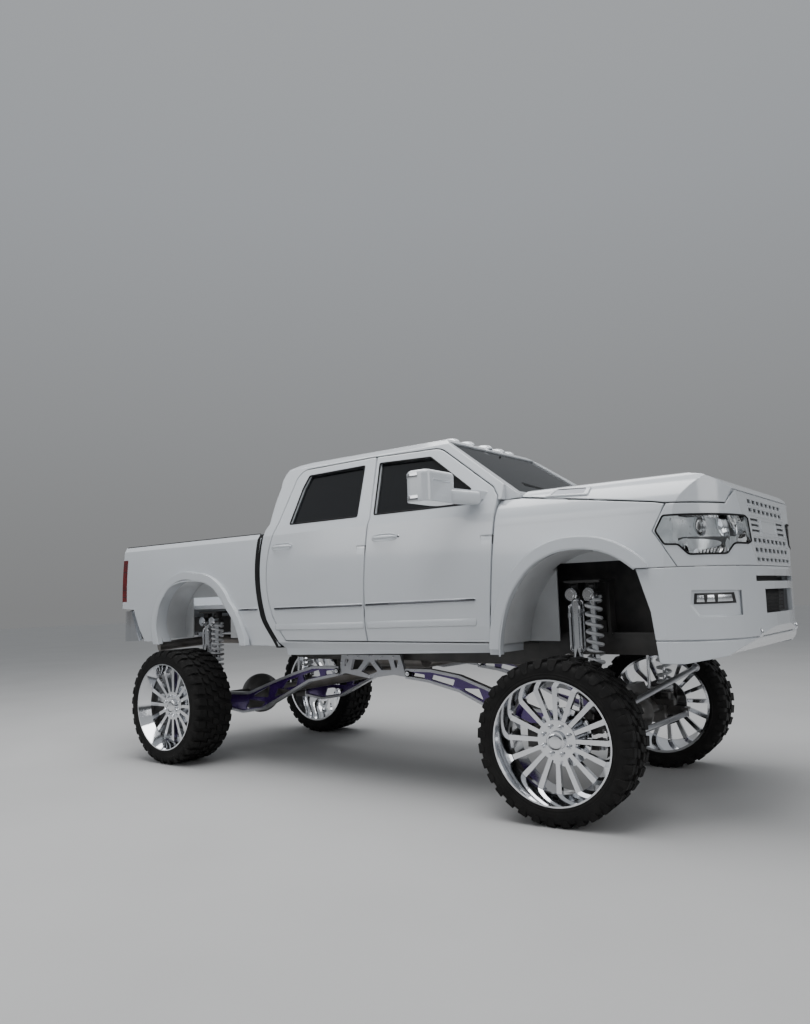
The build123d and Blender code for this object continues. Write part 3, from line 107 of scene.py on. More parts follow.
def fill(tree: Tree, node: Node, inputs: dict[str | int, Any]) -> Node:
    """Links sockets into a node's inputs and sets the other values.

    Args:
        tree: The nodes of a material or of the world.
        node: The node.
        inputs: Sockets and values by the input's name or number.

    Returns:
        The same node.
    """
    for key, value in inputs.items():
        if isinstance(value, Socket):
            tree.links.new(value, node.inputs[key])
        else:
            node.inputs[key].default_value = value
    return node


def add_node(tree: Tree, kind: str, inputs: dict[str | int, Any], **settings: Any) -> Node:
    """Adds a shader node.

    Args:
        tree: The nodes of a material or of the world.
        kind: The node's type, without the part that all share.
        inputs: Sockets and values by the input's name or number.
        settings: The node's own settings.

    Returns:
        The new node.
    """
    node = tree.nodes.new(f"ShaderNode{kind}")
    for key, value in settings.items():
        setattr(node, key, value)
    return fill(tree, node, inputs)


def add_noise(tree: Tree, place: Socket, scale: float, detail: float) -> Socket:
    """Adds a noise texture, with its features to the metre, and hands out its value."""
    inputs = {"Vector": place, "Scale": scale, "Detail": detail}
    return add_node(tree, "TexNoise", inputs).outputs["Fac"]


def add_ramp(tree: Tree, value: Socket, stops: Sequence[tuple[float, Colour]]) -> Socket:
    """Adds a colour ramp.

    Args:
        tree: The nodes of a material or of the world.
        value: What the ramp reads.
        stops: Places and their colours.

    Returns:
        The ramp's colour.
    """
    ramp = add_node(tree, "ValToRGB", {"Fac": value})
    elements = ramp.color_ramp.elements
    while len(elements) < len(stops):
        elements.new(0.5)
    for element, (spot, shade) in zip(elements, stops):
        element.position = spot
        element.color = (*shade, 1.0)
    return ramp.outputs["Color"]


@dataclass(frozen=True)
class Surface:
    """What finishes and glasses share: one node material, made once.

    Attributes:
        name: Name of the material.
        slot: The record's material slot that it usually stands for.
    """

    name: str
    slot: str

    def material(self) -> bpy.types.Material:
        """Makes the material once and hands it out after that.

        Returns:
            The node material.
        """
        title = f"{self.name}_finish"
        mat = bpy.data.materials.get(title)
        if mat is None:
            mat = bpy.data.materials.new(title)
            mat.use_nodes = True
            tree = mat.node_tree
            place = add_node(tree, "TexCoord", {}).outputs["Object"]
            self.paint(tree, tree.nodes["Principled BSDF"], place)
        return mat

    def paint(self, tree: Tree, shader: Node, place: Socket) -> None:
        """Links this surface's own nodes; each kind of surface has its own."""
        raise NotImplementedError


@dataclass(frozen=True)
class Relief:
    """The fine relief of a finish.

    Attributes:
        grain: Its kind.
        scale: Features to the metre.
        strength: How strong it is.
    """

    grain: Grain
    scale: float
    strength: float


@dataclass(frozen=True)
class Finish(Surface):
    """One opaque finish.

    Attributes:
        colour: Base colour.
        second: Colour of the patches that break the base colour up.
        share: How strongly the patches show.
        patch: Patches to the metre.
        rough: Roughness, and its spread.
        relief: Fine relief, if it has any.
        metallic: Metal share.
        coat: Clear coat weight.
        dust: Share of pale dust low on the truck.
        glow: Emission strength.
        soft_edge: Radius to which edges are rounded in shading.
        shine: Specular level.
    """

    colour: Colour
    second: Colour
    share: float
    patch: float
    rough: Flat
    relief: Relief | None = None
    metallic: float = 0.0
    coat: float = 0.0
    dust: float = 0.0
    glow: float = 0.0
    soft_edge: float = 0.0
    shine: float = 0.5

    def paint(self, tree: Tree, shader: Node, place: Socket) -> None:
        """Links patches, dust, uneven roughness and relief.

        Args:
            tree: The material's nodes.
            shader: The material's shader.
            place: Position on the piece.
        """
        shader.inputs["Base Color"].default_value = (*self.colour, 1.0)
        mixed = tuple(a + (b - a) * self.share for a, b in zip(self.colour, self.second))
        patches = add_noise(tree, place, self.patch, 5.0)
        colour = add_ramp(tree, patches, ((0.38, self.colour), (0.68, mixed)))
        if self.dust:
            colour = self._dusted(tree, place, colour)
        middle, spread = self.rough
        rough = add_node(tree, "MapRange", {
            "Value": add_noise(tree, place, self.patch * 2.3, 6.0),
            "To Min": max(0.0, middle - spread), "To Max": middle + spread,
        })
        fill(tree, shader, {
            "Base Color": colour, "Roughness": rough.outputs["Result"],
            "Metallic": self.metallic, "Specular IOR Level": self.shine,
            "Coat Weight": self.coat, "Coat Roughness": 0.11,
        })
        if self.glow:
            glow = {"Emission Color": (*self.colour, 1.0), "Emission Strength": self.glow}
            fill(tree, shader, glow)
        if self.relief is not None:
            self._add_relief(tree, place, shader, self.relief)

    def _dusted(self, tree: Tree, place: Socket, colour: Socket) -> Socket:
        """Lays dust over the colour, thicker near the ground.

        Args:
            tree: The material's nodes.
            place: Position on the truck.
            colour: The colour under the dust.

        Returns:
            The dusted colour.
        """
        height = add_node(tree, "SeparateXYZ", {0: place}).outputs["Z"]
        low = add_node(tree, "MapRange", {
            "Value": height, "From Min": 1.7, "From Max": 0.3, "To Max": self.dust,
        }).outputs["Result"]
        spots = add_noise(tree, place, 9.0, 8.0)
        share = add_node(tree, "Math", {0: low, 1: spots}, operation="MULTIPLY").outputs[0]
        inputs = {"Factor": share, "A": colour, "B": (0.33, 0.31, 0.28, 1.0)}
        return add_node(tree, "Mix", inputs, data_type="RGBA").outputs["Result"]

    def _add_relief(self, tree: Tree, place: Socket, shader: Node, relief: Relief) -> None:
        """Adds the bump that suits the grain.

        Args:
            tree: The material's nodes.
            place: Position on the piece.
            shader: The shader that gets the bump.
            relief: The relief to add.
        """
        if relief.grain in (Grain.LEATHER, Grain.MOULDED):
            inputs = {"Vector": place, "Scale": relief.scale}
            height = add_node(tree, "TexVoronoi", inputs).outputs["Distance"]
        elif relief.grain is Grain.BRUSHED:
            stretch = add_node(tree, "Mapping", {"Vector": place, "Scale": (0.06, 1.0, 1.0)})
            height = add_noise(tree, stretch.outputs["Vector"], relief.scale, 4.0)
        else:
            height = add_noise(tree, place, relief.scale, 6.0)
        inputs = {"Height": height, "Strength": relief.strength, "Distance": 0.002}
        bump = add_node(tree, "Bump", inputs)
        if self.soft_edge:
            soft = add_node(tree, "Bevel", {"Radius": self.soft_edge}, samples=6)
            fill(tree, bump, {"Normal": soft.outputs["Normal"]})
            fill(tree, shader, {"Coat Normal": soft.outputs["Normal"]})
        fill(tree, shader, {"Normal": bump.outputs["Normal"]})


@dataclass(frozen=True)
class Glazing(Surface):
    """Tinted glass or a clear lens.

    Attributes:
        tint: Colour of the light that comes through.
        clear: Share of light that comes through.
        rough: Roughness.
        index: Refractive index.
        mirrored: Strength of what it mirrors.
    """

    tint: Colour
    clear: float = 0.9
    rough: float = 0.03
    index: float = 1.45
    mirrored: float = 1.0

    def paint(self, tree: Tree, shader: Node, place: Socket) -> None:
        """Links a faint film that varies tint and roughness.

        Args:
            tree: The material's nodes.
            shader: The material's shader.
            place: Position on the piece.
        """
        film = add_node(tree, "TexNoise", {"Vector": place, "Scale": 4.0}).outputs["Fac"]
        paler = tuple(min(1.0, c * 1.15) for c in self.tint)
        rough = add_node(tree, "MapRange", {
            "Value": film, "To Min": self.rough * 0.5, "To Max": self.rough * 1.5,
        })
        fill(tree, shader, {
            "Base Color": add_ramp(tree, film, ((0.0, self.tint), (1.0, paler))),
            "Roughness": rough.outputs["Result"], "IOR": self.index,
            "Transmission Weight": self.clear, "Specular Tint": (*[self.mirrored] * 3, 1.0),
        })


PEARL_WHITE = Finish(
    "pearl_white_paint", "body_paint", (0.66, 0.69, 0.725), (0.61, 0.64, 0.675), 0.5, 1.2,
    (0.22, 0.05), Relief(Grain.ORANGE_PEEL, 260.0, 0.012), coat=1.0, dust=0.08, soft_edge=0.012,
)
LINER_WHITE = Finish(
    "white_liner_coat", "body_paint", (0.62, 0.635, 0.65), (0.5, 0.51, 0.52), 0.6, 4.0, (0.45, 0.1),
    Relief(Grain.ORANGE_PEEL, 160.0, 0.08), dust=0.35,
)
CHROME = Finish(
    "bright_chrome", "bright_chrome", (0.80, 0.81, 0.83), (0.66, 0.67, 0.70), 0.35, 5.0,
    (0.07, 0.03), Relief(Grain.ORANGE_PEEL, 90.0, 0.01), metallic=1.0,
)
POLISHED_RIM = Finish(
    "polished_forging", "bright_chrome", (0.83, 0.84, 0.86), (0.70, 0.71, 0.74), 0.35, 6.0,
    (0.075, 0.035), Relief(Grain.BRUSHED, 240.0, 0.012), metallic=1.0,
)
ARM_SILVER = Finish(
    "silver_powder_coat", "bright_chrome", (0.52, 0.53, 0.56), (0.40, 0.41, 0.44), 0.5, 6.0,
    (0.3, 0.08), Relief(Grain.ORANGE_PEEL, 300.0, 0.04), metallic=0.75, coat=0.5, dust=0.2,
)
CANDY_PURPLE = Finish(
    "candy_purple", "bright_chrome", (0.055, 0.012, 0.17), (0.03, 0.008, 0.10), 0.6, 6.0,
    (0.22, 0.06), Relief(Grain.ORANGE_PEEL, 300.0, 0.02), metallic=0.55, coat=1.0, dust=0.1,
)
CHASSIS_BLACK = Finish(
    "chassis_black", "chassis_black", (0.018, 0.018, 0.02), (0.05, 0.048, 0.045), 0.5, 5.0,
    (0.42, 0.12), Relief(Grain.ORANGE_PEEL, 180.0, 0.08), coat=0.2, dust=0.45,
)
CAST_DARK = Finish(
    "dark_casting", "chassis_black", (0.04, 0.04, 0.043), (0.09, 0.085, 0.08), 0.6, 7.0,
    (0.55, 0.12), Relief(Grain.CAST, 420.0, 0.35), metallic=0.6, dust=0.5,
)
DULL_STEEL = Finish(
    "dull_steel", "chassis_black", (0.22, 0.21, 0.2), (0.12, 0.10, 0.085), 0.6, 8.0, (0.42, 0.12),
    Relief(Grain.BRUSHED, 300.0, 0.15), metallic=0.9, dust=0.4,
)
TANK_BLACK = Finish(
    "tank_plastic", "chassis_black", (0.02, 0.02, 0.021), (0.045, 0.043, 0.04), 0.5, 5.0,
    (0.55, 0.1), Relief(Grain.MOULDED, 500.0, 0.2), dust=0.5,
)
TRIM_BLACK = Finish(
    "trim_black", "cabin_plastic", (0.014, 0.014, 0.015), (0.03, 0.03, 0.032), 0.5, 9.0, (0.4, 0.1),
    Relief(Grain.MOULDED, 700.0, 0.12),
)
SEAL_RUBBER = Finish(
    "seal_rubber", "cabin_plastic", (0.012, 0.012, 0.013), (0.03, 0.03, 0.03), 0.4, 12.0,
    (0.7, 0.1), Relief(Grain.RUBBER, 600.0, 0.1), shine=0.15,
)
TYRE_RUBBER = Finish(
    "mud_tyre_rubber", "tyre_rubber", (0.008, 0.008, 0.0085), (0.018, 0.0175, 0.017), 0.5, 14.0,
    (0.62, 0.12), Relief(Grain.RUBBER, 380.0, 0.25), dust=0.04, shine=0.12,
)
CABIN_PLASTIC = Finish(
    "cabin_plastic", "cabin_plastic", (0.03, 0.03, 0.032), (0.05, 0.05, 0.052), 0.5, 6.0,
    (0.6, 0.1), Relief(Grain.MOULDED, 900.0, 0.3),
)
SEAT_LEATHER = Finish(
    "seat_leather", "seat_leather", (0.035, 0.034, 0.036), (0.06, 0.058, 0.06), 0.5, 8.0,
    (0.45, 0.1), Relief(Grain.LEATHER, 420.0, 0.35),
)
LENS_RED = Finish(
    "red_lens", "red_lens", (0.16, 0.006, 0.008), (0.08, 0.004, 0.006), 0.6, 10.0, (0.12, 0.04),
    Relief(Grain.BRUSHED, 160.0, 0.3), coat=1.0,
)
LAMP_WHITE = Finish(
    "lamp_reflector", "clear_lens", (0.82, 0.84, 0.86), (0.6, 0.62, 0.65), 0.6, 30.0, (0.16, 0.06),
    Relief(Grain.BRUSHED, 220.0, 0.3), metallic=0.9,
)
LAMP_GLOW = Finish(
    "lamp_strip", "clear_lens", (0.9, 0.93, 1.0), (0.8, 0.85, 0.95), 0.5, 40.0, (0.25, 0.05),
    Relief(Grain.BRUSHED, 300.0, 0.1), glow=0.5,
)
# The bowl's glow is painted light: the unlit reflector emits so that it looks nearly as pale as the
# paint.
LAMP_BOWL = Finish(
    "lamp_bowl", "bright_chrome", (0.74, 0.77, 0.79), (0.52, 0.55, 0.57), 0.7, 22.0, (0.30, 0.08),
    Relief(Grain.BRUSHED, 120.0, 0.4), metallic=0.35, glow=0.14,
)
LAMP_CLEAR = Finish(
    "roof_lamp_lens", "clear_lens", (0.72, 0.75, 0.78), (0.55, 0.58, 0.62), 0.6, 60.0, (0.12, 0.04),
    Relief(Grain.BRUSHED, 260.0, 0.3), metallic=0.3, coat=1.0,
)
DARK_CHROME = Finish(
    "dark_chrome", "bright_chrome", (0.15, 0.155, 0.17), (0.11, 0.115, 0.125), 0.4, 6.0,
    (0.12, 0.04), Relief(Grain.ORANGE_PEEL, 120.0, 0.01), metallic=1.0,
)
GRILLE_DARK = Finish(
    "grille_mesh", "cabin_plastic", (0.008, 0.008, 0.009), (0.03, 0.03, 0.033), 0.5, 60.0,
    (0.45, 0.1), Relief(Grain.MOULDED, 130.0, 0.8),
)
SPRING_WHITE = Finish(
    "spring_coat", "bright_chrome", (0.66, 0.67, 0.69), (0.52, 0.53, 0.55), 0.5, 14.0, (0.3, 0.08),
    Relief(Grain.ORANGE_PEEL, 400.0, 0.05), coat=0.6, dust=0.2,
)
MIRROR_FACE = Finish(
    "mirror_face", "bright_chrome", (0.75, 0.77, 0.8), (0.7, 0.72, 0.75), 0.4, 3.0, (0.03, 0.015),
    metallic=1.0,
)
FLOOR_PALE = Finish(
    "pale_floor", "", (0.50, 0.50, 0.50), (0.45, 0.45, 0.45), 0.5, 0.7, (0.75, 0.08),
    Relief(Grain.CAST, 60.0, 0.05),
)
TINTED_GLASS = Glazing("tinted_glass", "window_glass", (0.020, 0.022, 0.026), 0.70, 0.02)
WINDSHIELD_GLASS = Glazing(
    "windshield_glass", "window_glass", (0.06, 0.066, 0.072), 0.85, 0.02, 1.12, 0.4,
)
CLEAR_LENS = Glazing("clear_lens", "clear_lens", (0.95, 0.97, 0.98), 1.0, 0.012, 1.25)


def put(name: str, data: bpy.types.ID) -> Thing:
    """Links a new object to the scene.

    Args:
        name: Name of the object.
        data: Its mesh, light or camera.

    Returns:
        The object.
    """
    thing = bpy.data.objects.new(name, data)
    bpy.context.scene.collection.objects.link(thing)
    return thing


def bake_modifiers(thing: Thing) -> None:
    """Replaces a piece's mesh by what its modifiers make of it.

    Args:
        thing: The piece.
    """
    bpy.context.view_layer.update()
    seen = thing.evaluated_get(bpy.context.evaluated_depsgraph_get())
    made = bpy.data.meshes.new_from_object(seen)
    old = thing.data
    thing.modifiers.clear()
    thing.data = made
    made.name = old.name
    bpy.data.meshes.remove(old)


def ring(count: int, across: float = 1.0, up: float = 1.0) -> list[Flat]:
    """Steps evenly round a circle, or round a squarer ring.

    Args:
        count: Number of steps.
        across: Power of the cosines, below 1 for a squarer ring.
        up: Power of the sines.

    Returns:
        The cosines and sines, each raised to its power with its sign kept.
    """
    made = []
    for i in range(count):
        a = math.tau * i / count
        c, s = math.cos(a), math.sin(a)
        made.append((math.copysign(abs(c) ** across, c), math.copysign(abs(s) ** up, s)))
    return made


class Shape:
    """Gathers faces for one piece, in metres, in the truck's own frame."""

    def __init__(self) -> None:
        """Starts with no faces."""
        self.mesh = bmesh.new()

    def face(self, points: Iterable[Point]) -> None:
        """Adds one face from its corners."""
        self.mesh.faces.new([self.mesh.verts.new(Vector(p)) for p in points])

    def loops(
        self, rows: Iterable[Sequence[Point]], closed: bool = True, capped: bool = True
    ) -> None:
        """Skins a row of outlines.

        Args:
            rows: Outlines with the same number of points.
            closed: Whether each outline closes on itself.
            capped: Whether the first and last outlines are filled.
        """
        made = [[self.mesh.verts.new(Vector(p)) for p in row] for row in rows]
        count = len(made[0])
        for one, two in zip(made, made[1:]):
            for i in range(count if closed else count - 1):
                j = (i + 1) % count
                self.mesh.faces.new((one[i], one[j], two[j], two[i]))
        if capped and closed:
            self.mesh.faces.new(list(reversed(made[0])))
            self.mesh.faces.new(made[-1])

    def box(
        self, low: Point, high: Point, turn: Matrix | None = None, round_by: float = 0.0
    ) -> None:
        """Adds a block, rounded along its edges where asked.

        Args:
            low: Low corner.
            high: High corner.
            turn: Placement of the block, where it isn't square to the truck.
            round_by: Edge radius.
        """
        part = bmesh.new()
        bmesh.ops.create_cube(part, size=1.0)
        size = [b - a for a, b in zip(low, high)]
        middle = Vector([(a + b) / 2 for a, b in zip(low, high)])
        bmesh.ops.scale(part, vec=size, verts=part.verts)
        bmesh.ops.translate(part, vec=middle, verts=part.verts)
        if round_by:
            bmesh.ops.bevel(
                part, geom=part.edges[:], offset=round_by, segments=3, affect="EDGES", profile=0.5
            )
        self._take(part, turn)

    def turned(
        self, centre: Point, axis: Point, profile: Iterable[Flat], sides: int = 48
    ) -> None:
        """Turns a profile about an axis.

        Args:
            centre: A point on the axis.
            axis: Direction of the axis.
            profile: Rows of distance along the axis and radius.
            sides: Sides round the axis.
        """
        way = Vector(axis).normalized()
        across = way.orthogonal().normalized()
        up = way.cross(across)
        self.loops([
            [
                Vector(centre) + way * along + (across * c + up * s) * max(radius, 1e-5)
                for c, s in ring(sides)
            ]
            for along, radius in profile
        ])

    def rod(self, start: Point, end: Point, radius: float, sides: int = 24) -> None:
        """Adds a round bar between two points, with a small chamfer at its ends.

        Args:
            start: Middle of its first end.
            end: Middle of its other end.
            radius: Radius of the bar.
            sides: Sides round it.
        """
        line = Vector(end) - Vector(start)
        long = line.length
        nip = min(radius * 0.12, long * 0.2)
        profile = [(0, radius - nip), (nip, radius), (long - nip, radius), (long, radius - nip)]
        self.turned(start, line, profile, sides)

    def tube(
        self, path: Iterable[Point], radius: float, sides: int = 12, closed: bool = False
    ) -> None:
        """Sweeps a round section along points.

        Args:
            path: Points along the centre line.
            radius: Radius of the section.
            sides: Sides of the section.
            closed: Whether the path returns to its start.
        """
        points = [Vector(p) for p in path]
        normal = None
        rows = []
        for i, point in enumerate(points):
            before = points[i - 1] if i or closed else point
            after = points[(i + 1) % len(points)] if i + 1 < len(points) or closed else point
            way = (after - before).normalized()
            normal = way.orthogonal() if normal is None else normal - way * normal.dot(way)
            normal.normalize()
            side = way.cross(normal)
            rows.append([point + (normal * c + side * s) * radius for c, s in ring(sides)])
        if closed:
            rows.append(rows[0])
        self.loops(rows, capped=not closed)

    def add(self, other: "Shape", turn: Matrix) -> None:
        """Adds a copy of another shape, placed by a matrix."""
        self._take(other.mesh.copy(), turn)

    def _take(self, part: bmesh.types.BMesh, turn: Matrix | None) -> None:
        """Moves loose faces into this shape and frees them.

        Args:
            part: The loose faces.
            turn: Their placement, if they have one.
        """
        if turn is not None:
            bmesh.ops.transform(part, matrix=turn, verts=part.verts)
        holder = bpy.data.meshes.new("holder")
        part.to_mesh(holder)
        part.free()
        self.mesh.from_mesh(holder)
        bpy.data.meshes.remove(holder)

    def thing(self, name: str, finish: Surface) -> Thing:
        """Turns the gathered faces into an object.

        Args:
            name: Name of the object.
            finish: Its finish.

        Returns:
            The object.
        """
        data = bpy.data.meshes.new(name)
        self.mesh.to_mesh(data)
        self.mesh.free()
        data.materials.append(finish.material())
        return put(name, data)

    def piece(
        self, name: str, finish: Surface, body: str = ROOT, slot: str = "", smooth: float = 35.0,
        bevel: float = 0.0,
    ) -> Thing:
        """Makes the piece, dresses it and sets it on its body.

        Args:
            name: Name of the piece.
            finish: Its finish.
            body: The CAD body it rides on.
            slot: The record's material slot, where it isn't the finish's usual one; not used.
            smooth: Angle up to which faces shade smoothly, in degrees.
            bevel: Width of a small edge bevel.

        Returns:
            The finished piece.
        """
        bmesh.ops.remove_doubles(self.mesh, verts=self.mesh.verts, dist=1e-6)
        bmesh.ops.recalc_face_normals(self.mesh, faces=self.mesh.faces)
        thing = self.thing(name, finish)
        if bevel:
            edge = thing.modifiers.new("edge", "BEVEL")
            edge.width = bevel
            edge.segments = 2
            edge.limit_method = "ANGLE"
            edge.angle_limit = math.radians(30)
            bake_modifiers(thing)
        thing.data.shade_smooth()
        thing.data.set_sharp_from_angle(angle=math.radians(smooth))
        slot = slot or finish.slot
        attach(thing, body)
        LOG.info("%s: %d faces", name, len(thing.data.polygons))
        return thing


def dress(nodes: Nodes, names: Iterable[str], finish: Surface) -> None:
    """Gives carried-over CAD nodes a finish.

    Args:
        nodes: The frame's nodes by name.
        names: The nodes to dress.
        finish: The finish they get.
    """
    for name in names:
        thing = nodes[name]
        if not thing.material_slots:
            thing.data.materials.append(None)
        for holder in thing.material_slots:
            holder.material = finish.material()


@dataclass(frozen=True)
class Panel:
    """One soft light.

    Attributes:
        name: Name of the light.
        spot: Where it stands.
        aim: What it faces.
        size: Its length and width.
        power: Its power.
    """

    name: str
    spot: Point
    aim: Point
    size: Flat
    power: float


@dataclass
class Studio:
    """Floor, lights and the camera where the photographer stood.

    Attributes:
        eye: Camera position.
        yaw: Heading of the view, from +X towards +Y, in radians.
        pitch: Upward tilt, in radians.
        roll: Roll, in radians.
        lens: Focal length on a 36 mm sensor's long side, in mm.
        floor_half: Half width of the floor.
        sky_strength: Brightness of the surround.
        panels: Soft lights overhead, on each side and low ahead.
    """

    eye: Point = (4.344, -5.760, 1.432)
    yaw: float = 2.22664
    pitch: float = 0.10654
    roll: float = -0.03137
    lens: float = 28.33
    floor_half: float = 60.0
    sky_strength: float = 0.52
    panels: tuple[Panel, ...] = (
        Panel("overhead_panel", (-0.5, -1.5, 8.5), (0.3, 0.0, 1.0), (11.0, 5.0), 810.0),
        Panel("near_side_panel", (-5.0, -10.0, 5.5), (-0.4, 0.0, 1.4), (7.0, 4.0), 165.0),
        Panel("front_panel", (11.0, -2.0, 4.5), (1.5, 0.0, 1.5), (5.0, 4.0), 170.0),
        Panel("far_side_panel", (-3.0, 8.5, 11.0), (0.0, 0.0, 1.4), (9.0, 4.5), 260.0),
    )

    def build(self) -> None:
        """Makes the floor, the lights, the sky and the camera."""
        form = Shape()
        h = self.floor_half
        form.face([(-h, -h, 0), (h, -h, 0), (h, h, 0), (-h, h, 0)])
        floor = form.thing("studio_floor", FLOOR_PALE)
        for panel in self.panels:
            light = bpy.data.lights.new(panel.name, "AREA")
            light.shape = "RECTANGLE"
            light.size, light.size_y = panel.size
            light.energy = panel.power
            holder = put(panel.name, light)
            holder.location = panel.spot
            way = Vector(panel.aim) - Vector(panel.spot)
            holder.rotation_euler = way.to_track_quat("-Z", "Y").to_euler()
        self._sky()
        self._camera()

    def _sky(self) -> None:
        """A soft pale surround in view, darker and banded behind the camera for metal to mirror."""
        world = bpy.data.worlds.new("soft_surround")
        bpy.context.scene.world = world
        world.use_nodes = True
        tree = world.node_tree
        place = add_node(tree, "TexCoord", {}).outputs["Generated"]
        height = add_node(tree, "SeparateXYZ", {0: place}).outputs["Z"]
        plain = add_ramp(tree, height, (
            (0.0, (0.44, 0.445, 0.45)), (0.12, (0.50, 0.51, 0.52)), (0.45, (0.70, 0.73, 0.77)),
            (1.0, (0.95, 0.98, 1.0)),
        ))
        banded = add_ramp(tree, height, (
            (0.0, (0.30, 0.30, 0.30)), (0.03, (0.12, 0.125, 0.13)), (0.14, (0.20, 0.21, 0.22)),
            (0.22, (0.60, 0.62, 0.65)), (1.0, (0.95, 0.98, 1.0)),
        ))
        ahead = (math.cos(self.yaw), math.sin(self.yaw), 0.0)
        along = add_node(tree, "VectorMath", {0: place, 1: ahead}, operation="DOT_PRODUCT")
        share = add_node(tree, "MapRange", {
            "Value": along.outputs["Value"], "From Min": -0.1, "From Max": 0.45,
        })
        inputs = {"Factor": share.outputs["Result"], "A": banded, "B": plain}
        mix = add_node(tree, "Mix", inputs, data_type="RGBA")
        inputs = {"Strength": self.sky_strength, "Color": mix.outputs["Result"]}
        fill(tree, tree.nodes["Background"], inputs)

    def _camera(self) -> None:
        """The camera at the photograph's viewing angle."""
        lens = bpy.data.cameras.new("photo_camera")
        lens.sensor_fit = "AUTO"
        lens.sensor_width = 36.0
        lens.lens = self.lens
        lens.clip_end = 200.0
        ahead = Vector((
            math.cos(self.yaw) * math.cos(self.pitch),
            math.sin(self.yaw) * math.cos(self.pitch),
            math.sin(self.pitch),
        ))
        level = ahead.cross(Vector(UPRIGHT)).normalized()
        up = level.cross(ahead)
        right = level * math.cos(self.roll) + up * math.sin(self.roll)
        above = up * math.cos(self.roll) - level * math.sin(self.roll)
        turn = Matrix((right, above, -ahead)).transposed().to_4x4()
        camera = put("photo_camera", lens)
        camera.matrix_world = Matrix.Translation(self.eye) @ turn
        bpy.context.scene.camera = camera


@dataclass(frozen=True)
class WheelSpot:
    """Where one wheel stands.

    Attributes:
        end: Front or rear.
        side: Its side of the truck.
    """

    end: str
    side: Side

    def place(self) -> Matrix:
        """Places the outer lip's centre, with +Y outward.

        Returns:
            The placement.
        """
        sign = self.side.value
        out = Matrix.Rotation(math.pi if self.side is Side.RIGHT else 0.0, 4, "Z")
        if self.end == "rear":
            return Matrix.Translation((-2.032, sign * 1.195, 0.512)) @ out
        steer = Matrix.Rotation(math.radians(6.5), 4, "Z")
        kingpin = Matrix.Translation((1.860, sign * 0.800, 0.512))
        return kingpin @ steer @ Matrix.Translation((0, sign * 0.395, 0)) @ out

    @property
    def word(self) -> str:
        """The wheel's place in the names of pieces."""
        return f"{self.end}_{self.side.word}"


WHEELS = tuple(WheelSpot(end, side) for end in ("front", "rear") for side in Side)


def at_each_wheel(form: Shape, name: str, finish: Surface, smooth: float = 35.0) -> list[Thing]:
    """Makes a copy of a shape at each wheel and frees the shape.

    Args:
        form: The shape, about the outer lip's centre.
        name: What the names of the pieces start with.
        finish: Their finish.
        smooth: Angle up to which faces shade smoothly, in degrees.

    Returns:
        The pieces, in the order of the wheels.
    """
    made = []
    for spot in WHEELS:
        own = Shape()
        own.add(form, spot.place())
        made.append(own.piece(f"{name}_{spot.word}", finish, f"wheel_{spot.word}", smooth=smooth))
    form.mesh.free()
    return made


